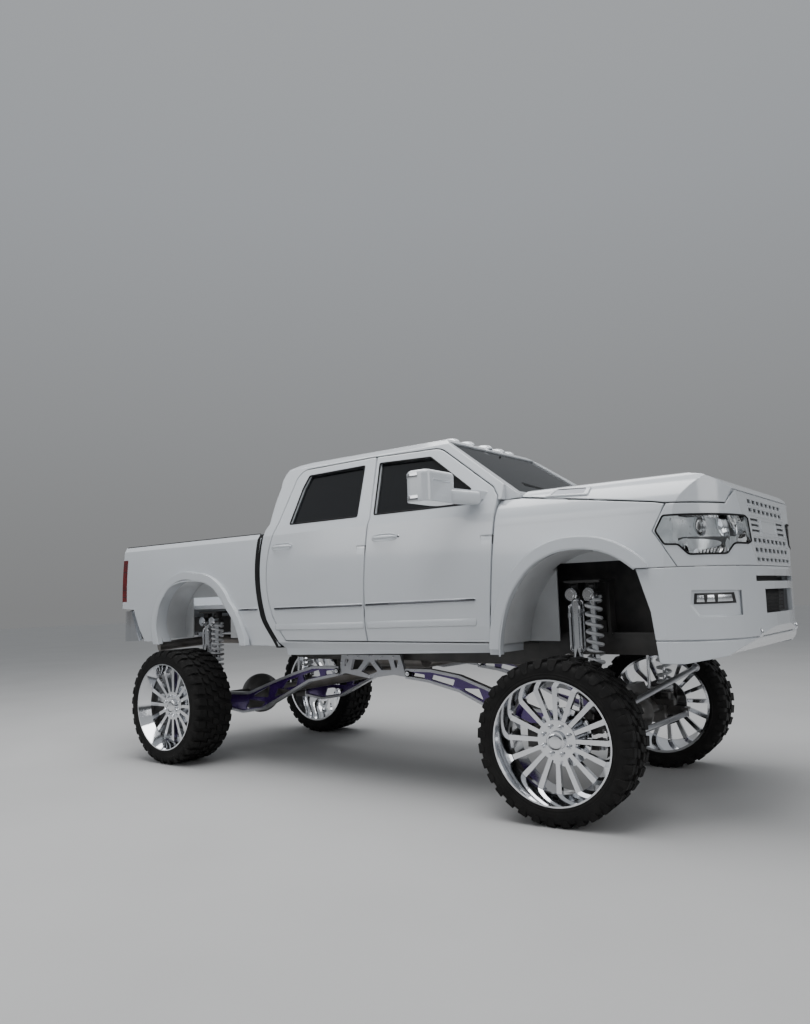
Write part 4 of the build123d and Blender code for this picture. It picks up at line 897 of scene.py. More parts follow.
@dataclass
class MudTyre:
    """Mud tyre with slanted tread blocks and lugs that run down its side walls.

    Attributes:
        crown: Radius at the lugs' tips.
        base: Radius between the lugs.
        bead: Radius at the rim.
        width: Overall width.
        pitches: Rows of lugs round the tyre.
        stagger: Share of a pitch by which the inner half stands off.
        sides: Sides of the carcass.
    """

    crown: float = 0.512
    base: float = 0.494
    bead: float = 0.3895
    width: float = 0.404
    pitches: int = 32
    stagger: float = 0.45
    sides: int = 128

    def build(self) -> None:
        """Makes one tyre for each wheel."""
        form = Shape()
        turn = ring(self.sides)
        section = self._section()
        form.loops(
            [[(r * c, y, r * s) for y, r in section] for c, s in turn + turn[:1]], capped=False
        )
        self._tread(form)
        self._side_lugs(form)
        for spot, tyre in zip(WHEELS, at_each_wheel(form, "mud_tyre", TYRE_RUBBER, 28.0)):
            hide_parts(f"tyre_{spot.end}_{spot.side.word}")

    def _section(self) -> list[Flat]:
        """Draws the carcass from bead to bead, with its rim guard and ribs, and its inner wall.

        Returns:
            Distances across and radii.
        """
        bead, base = self.bead, self.base
        outer = [
            (-0.0135, bead), (-0.003, bead + 0.003), (0.0005, bead + 0.010),
            (0.0015, bead + 0.016), (-0.001, bead + 0.021), (-0.0015, 0.418), (0.0002, 0.420),
            (0.0002, 0.424), (-0.0015, 0.426), (-0.0010, 0.440), (-0.0015, 0.452),
            (-0.004, 0.466), (-0.010, 0.480), (-0.019, 0.489), (-0.032, base - 0.001),
            (-0.060, base), (-0.130, base + 0.001),
        ]
        inner = [(-self.width - y, r) for y, r in reversed(outer)]
        wall = [
            (-self.width + 0.016, bead + 0.004), (-self.width + 0.02, 0.47), (-0.02, 0.47),
            (-0.016, bead + 0.004),
        ]
        return outer + inner + wall

    def _spot(self, angle: float, y: float, radius: float) -> Vector:
        """A point on the tyre from an angle in degrees, a distance across and a radius."""
        a = math.radians(angle)
        return Vector((radius * math.cos(a), y, radius * math.sin(a)))

    def _tread(self, form: Shape) -> None:
        """Adds rows of tread blocks with drafted sides and nipped top edges.

        Args:
            form: The tyre.
        """
        step = 360.0 / self.pitches
        shoulder = ((0.0, -0.026), (6.9, -0.026), (7.5, -0.086), (5.6, -0.098), (0.9, -0.094))
        inner = (
            (1.6, -0.108), (7.0, -0.112), (9.4, -0.142), (8.6, -0.166), (3.4, -0.160),
            (2.6, -0.136),
        )
        middle = (
            (-1.2, -0.176), (4.6, -0.180), (5.6, -0.203), (6.8, -0.224), (1.0, -0.228),
            (0.0, -0.202),
        )
        mirrored = [[(-a, -self.width - y) for a, y in row] for row in (shoulder, inner)]
        for i in range(self.pitches):
            start = i * step
            drop = 0.001 * (i % 2)
            blocks = [(shoulder, start, drop), (inner, start, 0.0), (middle, start, 0.0)]
            blocks += [(outline, start + step * self.stagger, 0.0) for outline in mirrored]
            for outline, first, lower in blocks:
                top = self.crown - lower
                mid_a = sum(a for a, _ in outline) / len(outline)
                mid_y = sum(y for _, y in outline) / len(outline)
                levels = ((self.base - 0.006, 1.07), (top - 0.0025, 1.0), (top, 0.94))
                form.loops([
                    [
                        self._spot(
                            first + mid_a + (a - mid_a) * scale, mid_y + (y - mid_y) * scale, radius
                        )
                        for a, y in outline
                    ]
                    for radius, scale in levels
                ])

    def _side_lugs(self, form: Shape) -> None:
        """Adds the lugs on both side walls, long and short in turn.

        Args:
            form: The tyre.
        """
        step = 360.0 / self.pitches
        for i in range(self.pitches):
            foot = 0.463 if i % 2 else 0.447
            for turn, start in ((1, i * step), (-1, (i + self.stagger) * step)):
                rows = []
                for depth, grow in ((-0.014, 0.3), (0.0, 0.0), (0.002, -0.45)):
                    corners = (
                        (0.2 - grow, 0.5075, -0.022), (6.9 + grow, 0.5075, -0.022),
                        (6.7 + grow, 0.487, -0.0045), (6.0 + grow, foot + 0.004, 0.0),
                        (4.8 + grow, foot - 0.004, 0.0), (1.6 - grow, foot - 0.004, 0.0),
                        (0.6 - grow, foot + 0.008, 0.0), (0.3 - grow, 0.487, -0.0045),
                    )
                    rows.append([
                        self._spot(
                            start + turn * a, y + depth if turn > 0 else -self.width - y - depth, r
                        )
                        for a, r, y in corners
                    ])
                form.loops(rows)


@dataclass
class WheelFittings:
    """Lug nuts, the centre cap's edge and the valve of a forged wheel.

    Attributes:
        nuts: Number of lug nuts.
        circle: Radius of the nuts' circle.
        face: Depth of the pad's face behind the lip.
    """

    nuts: int = 8
    circle: float = 0.090
    face: float = 0.107

    def build(self) -> None:
        """Makes the fittings of each wheel."""
        form = Shape()
        washer = ((0, 0.0165), (0.004, 0.0165), (0.006, 0.0135))
        nut = ((0, 0.0125), (0.026, 0.0118), (0.031, 0.009), (0.032, 0.0))
        for i in range(self.nuts):
            a = math.tau * (i + 0.5) / self.nuts
            x, z = self.circle * math.cos(a), self.circle * math.sin(a)
            form.turned((x, -self.face - 0.001, z), AXLE, washer, 24)
            form.turned((x, -self.face + 0.004, z), AXLE, nut, 6)
        cap = (
            (-0.003, 0.0595), (0.002, 0.0595), (0.004, 0.056), (0.003, 0.047), (0.0045, 0.045),
            (0.006, 0.03), (0.0068, 0.0),
        )
        form.turned((0, -0.0875, 0), AXLE, cap)
        form.rod((0.30, -0.108, 0.178), (0.283, -0.082, 0.168), 0.0052, 12)
        form.rod((0.283, -0.082, 0.168), (0.2785, -0.0755, 0.1655), 0.0062, 12)
        at_each_wheel(form, "wheel_fittings", CHROME)


class Skin:
    """Finds the CAD body's outer surface, so that trim seats on it."""

    HALF_WIDTH = 0.96

    def __init__(self, nodes: Nodes) -> None:
        """Gathers the faces of the body's panels.

        Args:
            nodes: The frame's nodes by name.
        """
        paired = (
            "cab_side", "fender", "bed_side", "door_front", "door_rear", "door_glass_front",
            "door_glass_rear",
        )
        names = [f"{name}_{side.word}" for name in paired for side in Side] + [
            "cab_roof", "cab_back", "front_fascia", "front_bumper", "hood", "tailgate",
            "rear_bumper", "headlamps", "tail_lamps", "cab_glass",
        ]
        points: list[Vector] = []
        faces: list[tuple[int, ...]] = []
        for name in names:
            thing = nodes[name]
            base = len(points)
            points.extend(thing.matrix_world @ v.co for v in thing.data.vertices)
            faces.extend(tuple(base + i for i in poly.vertices) for poly in thing.data.polygons)
        self.tree = BVHTree.FromPolygons(points, faces)

    def side(self, x: float, z: float, side: Side) -> float:
        """Finds the skin's half width; a ray that falls into a gap is cast beside it.

        Args:
            x: Distance forward.
            z: Height.
            side: Side of the truck.

        Returns:
            The half width.
        """
        sign = side.value
        near = 0.012
        for dx, dz in (
            (0, 0), (0, near), (0, -near), (-near, 0), (near, 0), (-0.02, 0.02), (-0.02, -0.02)
        ):
            start = Vector((x + dx, sign * 1.6, z + dz))
            hit = self.tree.ray_cast(start, Vector((0, -sign, 0)))[0]
            if hit is not None and hit.y * sign > 0.4:
                return abs(hit.y)
        return self.HALF_WIDTH

    def frame_side(self, x: float, z: float, middle: Flat, side: Side) -> Point:
        """Finds a place on the panel just outside an opening's edge.

        Args:
            x: Place of the edge along the truck.
            z: Height of the edge.
            middle: Middle of the opening in side view.
            side: Side of the truck.

        Returns:
            The place in space, 6 mm out from the edge.
        """
        away = (Vector((x, z)) - Vector(middle)).normalized() * 0.006
        x, z = x + away.x, z + away.y
        return x, side.value * self.side(x, z, side), z

    def top(self, x: float, y: float) -> float:
        """Height of the skin at a place seen from above."""
        return self.tree.ray_cast(Vector((x, y, 3.2)), Vector((0, 0, -1)))[0].z

    def front(self, y: float, z: float) -> float:
        """How far forward the skin stands at a place in front view."""
        hit = self.tree.ray_cast(Vector((3.6, y, z)), Vector(AFT))[0]
        return hit.x if hit is not None else 2.9

    def back(self, y: float, z: float) -> float:
        """How far back the skin stands at a place in rear view."""
        return self.tree.ray_cast(Vector((-3.6, y, z)), Vector((1, 0, 0)))[0].x


def rounded_path(corners: Sequence[Flat], radius: float, steps: int) -> list[Flat]:
    """Rounds the corners of a closed outline.

    Args:
        corners: The outline's corners.
        radius: How far from a corner its curve starts.
        steps: Points in each corner.

    Returns:
        The rounded outline.
    """
    path = []
    for i, corner in enumerate(corners):
        here = Vector(corner)
        ends = []
        for other in (corners[i - 1], corners[(i + 1) % len(corners)]):
            line = Vector(other) - here
            ends.append(here + line.normalized() * min(radius, line.length * 0.45))
        for k in range(steps + 1):
            t = k / steps
            spot = ends[0] * (1 - t) ** 2 + here * 2 * t * (1 - t) + ends[1] * t ** 2
            path.append((spot.x, spot.y))
    return path


def rounded_box(middle: Flat, long: float, tall: float, radius: float, steps: int) -> list[Flat]:
    """Draws a rectangle with rounded corners.

    Args:
        middle: Its middle.
        long: Its length.
        tall: Its height.
        radius: How far from a corner its curve starts.
        steps: Points in each corner.

    Returns:
        The outline.
    """
    (y, z), h, v = middle, long / 2, tall / 2
    corners = ((y - h, z - v), (y + h, z - v), (y + h, z + v), (y - h, z + v))
    return rounded_path(corners, radius, steps)


def smooth_path(points: Sequence[Flat], steps: int) -> list[Flat]:
    """Runs a smooth curve through points.

    Args:
        points: Points to pass through.
        steps: Points made for each span.

    Returns:
        The points of the curve.
    """
    rows = [Vector(p) for p in points]
    made = []
    for a, b, c, d in zip(rows[:1] + rows, rows, rows[1:], rows[2:] + rows[-1:]):
        for k in range(steps):
            t = k / steps
            spot = 0.5 * (
                2 * b + (c - a) * t + (2 * a - 5 * b + 4 * c - d) * t ** 2
                + (3 * b - a - 3 * c + d) * t ** 3
            )
            made.append(tuple(spot))
    return made + [tuple(rows[-1])]


@dataclass(frozen=True)
class ShockSpot:
    """Where one coil-over unit or bypass tube stands.

    Attributes:
        name: Name of the unit.
        x: Distance forward.
        low: Height of its lower eye's seat.
        high: Height of its upper mount's seat.
        coil: Whether it carries a coil spring.
    """

    name: str
    x: float
    low: float
    high: float
    coil: bool


@dataclass
class Suspension:
    """Coil-over units, bypass tubes, and the arms' bolts and bushings.

    Attributes:
        out: Distance of the units from the middle.
        coil_radius: Radius of the coil's centre line.
        wire: Radius of the coil's wire.
        turns: Active turns of a coil.
        foot: Height of the coil's lower seat over the lower eye's seat.
        head: Depth of its upper seat below the upper mount's seat.
        spots: Where the units stand.
        arm_ends: Pivots of the long arms: distance forward, height and distance out.
        truss_bolts: Bolts of the centre truss: distance forward and height.
    """

    out: float = 0.620
    coil_radius: float = 0.050
    wire: float = 0.0115
    turns: float = 12.0
    foot: float = 0.058
    head: float = 0.085
    spots: tuple[ShockSpot, ...] = (
        ShockSpot("front_coilover", 1.978, 0.5785, 1.4995, True),
        ShockSpot("front_bypass", 1.850, 0.5785, 1.4995, False),
        ShockSpot("rear_coilover", -1.957, 0.5825, 1.3445, True),
        ShockSpot("rear_bypass", -2.102, 0.5825, 1.3445, False),
    )
    arm_ends: tuple[Point, ...] = (
        (-0.447, 0.829, 0.54), (-1.895, 0.508, 0.54), (0.325, 0.829, 0.54), (1.740, 0.512, 0.455),
    )
    truss_bolts: tuple[Flat, ...] = (
        (-0.40, 0.90), (-0.33, 0.955), (-0.21, 0.955), (-0.09, 0.958), (0.05, 0.958),
        (0.17, 0.958), (0.225, 0.90), (-0.09, 0.79),
    )

    def build(self) -> None:
        """Makes every unit on both sides, and the arms' bolts."""
        first = None
        for spot in self.spots:
            for side in Side:
                y = side.value * self.out
                metal = Shape()
                self._unit(metal, spot, side)
                name = f"{spot.name}_{side.word}"
                unit = metal.piece(name, CHROME, smooth=40.0)
                first = first or unit
                dark = Shape()
                self._mounts(dark, spot, y)
                if spot.coil:
                    self._seats(dark, spot, y)
                dark.piece(f"{spot.name}_fittings_{side.word}", CHASSIS_BLACK)
                if spot.coil:
                    name = f"{spot.name}_spring_{side.word}"
                    self._coil(spot, side).piece(name, SPRING_WHITE, smooth=80.0)
        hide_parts("shocks")
        self._arm_bolts()

    def _unit(self, form: Shape, spot: ShockSpot, side: Side) -> None:
        """Adds the shaft, the body with its collars and cap, and a bypass tube's outer pipes.

        Args:
            form: The piece's faces.
            spot: Where the unit stands.
            side: Side of the truck.
        """
        x, y, low, high = spot.x, side.value * self.out, spot.low, spot.high
        mid = low + (high - low) * 0.42
        shaft = (
            (low + 0.050, 0.012), (low + 0.052, 0.0125), (mid + 0.01, 0.0125), (mid + 0.01, 0.012)
        )
        form.turned((x, y, 0), UPRIGHT, shaft, 24)
        body = 0.030 if spot.coil else 0.036
        form.turned((x, y, 0), UPRIGHT, (
            (mid, body - 0.006), (mid + 0.004, body), (mid + 0.022, body),
            (mid + 0.024, body - 0.003), (mid + 0.05, body - 0.003), (high - 0.105, body - 0.003),
            (high - 0.103, body), (high - 0.085, body), (high - 0.078, body - 0.012),
            (high - 0.05, body - 0.014),
        ), 36)
        cap = high - 0.078
        for near, far, radius, sides in ((0.022, 0.078, 0.044, 36), (0.074, 0.084, 0.026, 24)):
            ends = [(x, y + side.value * d, cap) for d in (near, far)]
            form.rod(*ends, radius, sides)
        if spot.coil:
            return
        for angle in (35, 145, 215, 325):
            a = math.radians(angle)
            top = high - (0.13 if angle < 180 else 0.16)
            out = Vector((math.cos(a), math.sin(a), 0.0))
            stations = (
                (0.03, mid + 0.07), (0.047, mid + 0.085), (0.047, mid + 0.11), (0.047, top - 0.03),
                (0.047, top), (0.03, top + 0.015),
            )
            form.tube([Vector((x, y, z)) + out * r for r, z in stations], 0.0085)
            collar = [Vector((x, y, top + z)) + out * 0.047 for z in (-0.075, -0.045)]
            form.rod(*collar, 0.0125, 6)

    def _mounts(self, form: Shape, spot: ShockSpot, y: float) -> None:
        """Adds both eyes with their bolts, brackets and plates.

        Args:
            form: The piece's faces.
            spot: Where the unit stands.
            y: Its distance to the left.
        """
        x = spot.x
        for z, way in ((spot.low, 1), (spot.high, -1)):
            eye = z + way * 0.026
            for half, radius, sides in ((0.021, 0.0245, 28), (0.030, 0.010, 6)):
                form.rod((x - half, y, eye), (x + half, y, eye), radius, sides)
            form.rod((x, y, eye + way * 0.016), (x, y, eye + way * 0.05), 0.015, 20)
            low, high = sorted((z, z + way * 0.05))
            for near in (x - 0.03, x + 0.024):
                form.box((near, y - 0.024, low), (near + 0.006, y + 0.024, high), round_by=0.002)
            low, high = sorted((z, z + way * 0.005))
            form.box((x - 0.034, y - 0.03, low), (x + 0.034, y + 0.03, high))

    def _seats(self, form: Shape, spot: ShockSpot, y: float) -> None:
        """Adds the coil's lower and upper seats and the ring between its halves.

        Args:
            form: The piece's faces.
            spot: Where the unit stands.
            y: Its distance to the left.
        """
        foot, head = spot.low + self.foot, spot.high - self.head
        middle = (foot + head) / 2
        for base, profile in (
            (foot, ((-0.012, 0.02), (-0.01, 0.058), (-0.002, 0.0625), (0, 0.0625), (0, 0.02))),
            (head, (
                (0, 0.02), (0, 0.0625), (0.004, 0.0625), (0.012, 0.050), (0.024, 0.048),
                (0.026, 0.03),
            )),
            (middle, ((-0.007, 0.032), (-0.007, 0.062), (0.007, 0.062), (0.007, 0.032))),
        ):
            form.turned((spot.x, y, 0), UPRIGHT, [(base + z, r) for z, r in profile], 36)

    def _coil(self, spot: ShockSpot, side: Side) -> Shape:
        """Winds the coil, with closed and ground end turns.

        Args:
            spot: Where the unit stands.
            side: Side of the truck.

        Returns:
            The coil.
        """
        low = spot.low + self.foot + self.wire
        high = spot.high - self.head - self.wire
        steps = 340
        path = []
        total = self.turns + 2.0
        for i in range(steps + 1):
            turn = i / steps * total
            rise = min(max((turn - 1.0) / self.turns, 0.0), 1.0)
            slack = 2.0 * self.wire * (min(turn, 1.0) + max(0.0, turn - total + 1.0))
            a = math.tau * turn * side.value
            path.append((
                spot.x + self.coil_radius * math.cos(a),
                side.value * self.out + self.coil_radius * math.sin(a),
                low + slack + (high - low - 4.0 * self.wire) * rise,
            ))
        form = Shape()
        form.tube(path, self.wire, 10)
        return form

    def _arm_bolts(self) -> None:
        """Makes pivot bolts, bushings and bolt heads along the long arms."""
        rubber, steel, heads = Shape(), Shape(), Shape()
        for side in Side:
            for x, z, out in self.arm_ends:
                y = side.value * out
                for form, half, radius, sides in (
                    (rubber, 0.037, 0.026, 28), (steel, 0.046, 0.0135, 6), (steel, 0.040, 0.019, 24)
                ):
                    form.rod((x, y - half, z), (x, y + half, z), radius, sides)
            for x, z in self.truss_bolts:
                heads.rod((x, side.value * 0.554, z), (x, side.value * 0.5635, z), 0.008, 6)
        rubber.piece("arm_bushings", SEAL_RUBBER, slot="chassis_black")
        steel.piece("arm_pivot_bolts", CHROME)
        heads.piece("truss_bolts", CHROME)


@dataclass(frozen=True)
class Door:
    """What trims one of the doors.

    Attributes:
        end: Front or rear.
        moulding: Places along its moulding, as distance forward and height.
        handle: Rear and front end of its handle.
        glass: Corners of its window.
        armrest: Rear and front end of its armrest.
    """

    end: str
    moulding: tuple[Flat, ...]
    handle: Flat
    glass: tuple[Flat, ...]
    armrest: Flat

    def body(self, side: Side) -> str:
        """The CAD body of this door on one side."""
        return f"{self.end}_door_{side.word}"


DOORS = (
    Door(
        "front",
        ((0.262, 1.3895), (0.275, 1.3898), (0.60, 1.396), (0.95, 1.402), (1.262, 1.406),
         (1.272, 1.406)),
        (0.345, 0.570),
        ((0.330, 2.092), (1.212, 2.092), (1.196, 2.205), (0.770, 2.500), (0.268, 2.520)),
        (0.45, 1.18),
    ),
    Door(
        "rear",
        ((-0.757, 1.3765), (-0.745, 1.377), (-0.30, 1.382), (0.222, 1.389), (0.232, 1.3892)),
        (-0.780, -0.555),
        ((-0.606, 2.092), (0.142, 2.092), (0.096, 2.520), (-0.520, 2.508), (-0.560, 2.400)),
        (-0.42, 0.10),
    ),
)
BED_MOULDING = ((-1.212, 1.373), (-1.20, 1.373), (-0.975, 1.3755), (-0.965, 1.3755))
ARCHES = {
    "front": (1.026, (
        (1.467, 1.02), (1.470, 1.10), (1.487, 1.205), (1.520, 1.330), (1.575, 1.445),
        (1.654, 1.548), (1.735, 1.622), (1.830, 1.672), (1.935, 1.703), (2.045, 1.713),
        (2.150, 1.706), (2.260, 1.678), (2.355, 1.630), (2.441, 1.565),
    )),
    "rear": (1.024, (
        (-1.165, 1.06), (-1.185, 1.150), (-1.235, 1.250), (-1.295, 1.335), (-1.365, 1.410),
        (-1.435, 1.490), (-1.520, 1.575), (-1.650, 1.633), (-1.800, 1.652), (-2.000, 1.650),
        (-2.160, 1.610), (-2.270, 1.520), (-2.350, 1.400), (-2.385, 1.220), (-2.340, 1.059),
    )),
}
BED_SEAM = (
    (-0.9064, 2.028), (-0.9202, 1.95), (-0.9310, 1.85), (-0.9348, 1.75), (-0.9315, 1.65),
    (-0.9212, 1.55), (-0.9037, 1.45), (-0.8843, 1.37), (-0.8600, 1.29), (-0.7860, 1.1685),
    (-0.7125, 1.048),
)


@dataclass
class BodyTrim:
    """Mouldings, handles, seals and small trim of the body, one set on each side.

    Attributes:
        skin: Finds the body's surface.
        handle_height: Height of the door handles.
    """

    skin: Skin
    handle_height: float = 1.900

    def build(self) -> None:
        """Makes the trim on both sides, the roof lamps and the wipers."""
        for side in Side:
            for door in DOORS:
                self._moulding(f"{door.end}_door", door.moulding, door.body(side), side)
            self._moulding("bed", BED_MOULDING, ROOT, side)
            for door in DOORS:
                self._handle(door, side)
            for end, (out, arch) in ARCHES.items():
                form = Shape()
                y = side.value * (out - 0.004)
                form.tube([(x, y, z) for x, z in smooth_path(arch, 8)], 0.007, 10)
                form.piece(f"{end}_arch_lip_{side.word}", PEARL_WHITE, smooth=60.0)
            for door in DOORS:
                self._window_seal(door, side)
            self._bed_seam(side)
            self._vent(side)
        self._roof_lamps()
        self._wipers()

    def _bar(
        self, form: Shape, points: Sequence[Flat], side: Side, tall: float, proud: float
    ) -> None:
        """Adds a moulding along points in side view, rounded in section.

        Args:
            form: The piece's faces.
            points: Places along the moulding, as distance forward and height.
            side: Side of the truck.
            tall: Height of the section.
            proud: How far it stands off the skin.
        """
        section = (
            (-0.5, 0.0), (-0.5, 0.45), (-0.32, 0.9), (0.0, 1.0), (0.32, 0.9), (0.5, 0.45),
            (0.5, 0.0),
        )
        rows = []
        for x, z in points:
            scale = 0.55 if (x, z) in (points[0], points[-1]) else 1.0
            base = self.skin.side(x, z, side) - 0.0015
            rows.append([
                (x, side.value * (base + w * proud * scale), z + h * tall * scale)
                for h, w in section
            ])
        form.loops(rows)

    def _moulding(self, name: str, points: Sequence[Flat], body: str, side: Side) -> None:
        """Makes a length of moulding with its dark insert, and a door's lower crease.

        Args:
            name: What the names of its pieces start with.
            points: Places along the moulding.
            body: The CAD body it rides on.
            side: Side of the truck.
        """
        form, insert = Shape(), Shape()
        self._bar(form, points, side, 0.030, 0.009)
        if body != ROOT:
            self._bar(form, [(x, z - 0.152) for x, z in points], side, 0.060, 0.0045)
        self._bar(insert, points, side, 0.023, 0.0120)
        form.piece(f"{name}_moulding_{side.word}", PEARL_WHITE, body, smooth=50.0)
        insert.piece(f"{name}_moulding_insert_{side.word}", DARK_CHROME, body, smooth=50.0)

    def _handle(self, door: Door, side: Side) -> None:
        """Makes a door handle: a cup sunk in shadow, a grip over it and a lock at its end.

        Args:
            door: The door.
            side: Side of the truck.
        """
        sign, z, body = side.value, self.handle_height, door.body(side)
        rear, fore = door.handle
        long, middle = fore - rear, (rear + fore) / 2
        base = self.skin.side(middle, z, side)
        cup = Shape()
        cup.loops([
            [
                (middle + cx * long * 0.56 * scale, sign * (base + depth), z + cz * 0.031 * scale)
                for cx, cz in ring(32, 0.55, 0.8)
            ]
            for scale, depth in ((1.0, -0.004), (1.0, 0.0028), (0.86, 0.0032), (0.80, 0.0006))
        ])
        cup.piece(f"{door.end}_handle_cup_{side.word}", PEARL_WHITE, body)
        grip = Shape()
        steps = 14
        rows = []
        for i in range(steps + 1):
            share = i / steps
            arc = math.sin(math.pi * share)
            lift = 0.002 + 0.030 * arc ** 0.45
            half = 0.0135 * (0.55 + 0.45 * arc ** 0.5)
            rows.append([
                (rear + long * share, sign * (base + lift + 0.0075 * c), z + half * s)
                for c, s in ring(12)
            ])
        grip.loops(rows)
        grip.piece(f"{door.end}_handle_grip_{side.word}", PEARL_WHITE, body, smooth=60.0)
        if door.end == "front":
            lock = Shape()
            ends = [(fore + 0.024, sign * (base + d), z) for d in (-0.002, 0.004)]
            lock.rod(*ends, 0.0095)
            lock.piece(f"door_lock_{side.word}", CHROME, body)

    def _window_seal(self, door: Door, side: Side) -> None:
        """Makes the black seal round a side window.

        Args:
            door: The door.
            side: Side of the truck.
        """
        form = Shape()
        middle = tuple(sum(values) / len(door.glass) for values in zip(*door.glass))
        path = []
        for x, z in rounded_path(door.glass, 0.012, 3):
            px, py, pz = self.skin.frame_side(x, z, middle, side)
            path.append((px, py - side.value * 0.002, pz))
        form.tube(path, 0.0072, 8, closed=True)
        name = f"{door.end}_window_seal_{side.word}"
        form.piece(name, SEAL_RUBBER, door.body(side), "window_glass")

    def _bed_seam(self, side: Side) -> None:
        """Makes a black rubber strip in the gap between cab and bed, widened and flanged over the
        bed's lit front edge as painted shade of the gap.

        Args:
            side: Side of the truck.
        """
        sign = side.value
        form = Shape()
        rows = []
        for x, z in smooth_path(BED_SEAM, 6):
            y = self.skin.side(x + 0.035, z, side)
            over = self.skin.side(x - 0.045, z, side) + 0.0025
            # The flange from -0.060 to -0.028 lays black over the bed side's front edge: painted
            # shade of the gap, not rubber the truck has there.
            section = (
                (-0.0265, y - 0.055), (-0.0265, over - 0.006), (-0.060, over - 0.006),
                (-0.060, over), (-0.028, over), (-0.012, y - 0.003), (0.0005, y - 0.007),
                (0.0005, y - 0.055),
            )
            rows.append([(x + dx, sign * out, z) for dx, out in section])
        form.loops(rows)
        form.piece(f"bed_seam_{side.word}", SEAL_RUBBER, smooth=40.0)

    def _vent(self, side: Side) -> None:
        """Makes the raised vent on the hood's shoulder, white round a grey slot.

        Args:
            side: Side of the truck.
        """
        outline = rounded_path(
            ((1.800, 2.078), (2.120, 2.058), (2.125, 2.118), (1.845, 2.138)), 0.014, 4
        )
        rings = (
            (1.0, -0.006), (0.995, 0.009), (0.93, 0.011), (0.80, 0.0105), (0.76, 0.003),
        )
        for name, finish, rows in (
            ("side_vent", PEARL_WHITE, rings),
            ("vent_slot", DARK_CHROME, ((0.79, 0.001), (0.77, 0.0055))),
        ):
            form = Shape()
            form.loops([self._vent_row(outline, scale, lift, side) for scale, lift in rows])
            slot = "body_paint" if finish is PEARL_WHITE else "cabin_plastic"
            form.piece(f"hood_{name}_{side.word}", finish, "hood_lid", slot)

    def _vent_row(
        self, outline: Sequence[Flat], scale: float, lift: float, side: Side
    ) -> list[Point]:
        """One ring of the vent on the hood's shoulder.

        Args:
            outline: The vent's outline in side view.
            scale: Size of the ring.
            lift: How far it stands off the shoulder.
            side: Side of the truck.

        Returns:
            The ring's points.
        """
        mid_x, mid_z = 1.972, 2.098
        row = []
        for x, z in outline:
            px = mid_x + (x - mid_x) * scale
            pz = mid_z + (z - mid_z) * (scale if scale > 0.9 else scale * 0.86)
            y = self.skin.side(px, pz, side) + lift * 0.75
            row.append((px, side.value * y, pz + lift * 0.65))
        return row

    def _roof_lamps(self) -> None:
        """Makes five clearance lamps along the front of the roof."""
        housing, lens = Shape(), Shape()
        for y in (-0.43, -0.24, 0.0, 0.24, 0.43):
            x = 0.775 - 0.10 * abs(y)
            z = self.skin.top(x, y)
            rows = [
                [(x - 0.5 * up + long * c, y + wide * s, z + up) for c, s in ring(24)]
                for long, wide, up in (
                    (0.085, 0.044, -0.008), (0.083, 0.042, 0.008), (0.070, 0.035, 0.024),
                    (0.045, 0.022, 0.032),
                )
            ]
            housing.loops(rows[:2])
            lens.loops(rows[1:])
        housing.piece("roof_lamp_bases", PEARL_WHITE)
        lens.piece("roof_lamp_lenses", LAMP_CLEAR, smooth=60.0)

    def _wipers(self) -> None:
        """Makes two wiper arms parked along the foot of the windshield."""
        form = Shape()
        for pivot_y, tip_y in ((0.55, -0.08), (-0.10, -0.70)):
            pivot = Vector((1.585, pivot_y, 2.150))
            tip = Vector((1.535, tip_y, 2.205))
            form.rod((1.585, pivot_y, 2.125), (1.585, pivot_y, 2.158), 0.014, 20)
            middle = (pivot + tip) / 2 + Vector((0.0, 0.0, 0.018))
            form.tube([pivot, middle, tip + Vector((0, 0, 0.008))], 0.006, 8)
            blade = (tip - pivot).normalized() * 0.26
            form.tube([middle - blade * 0.2, middle + blade * 1.25], 0.0055, 8)
        form.piece("wiper_arms", TRIM_BLACK)


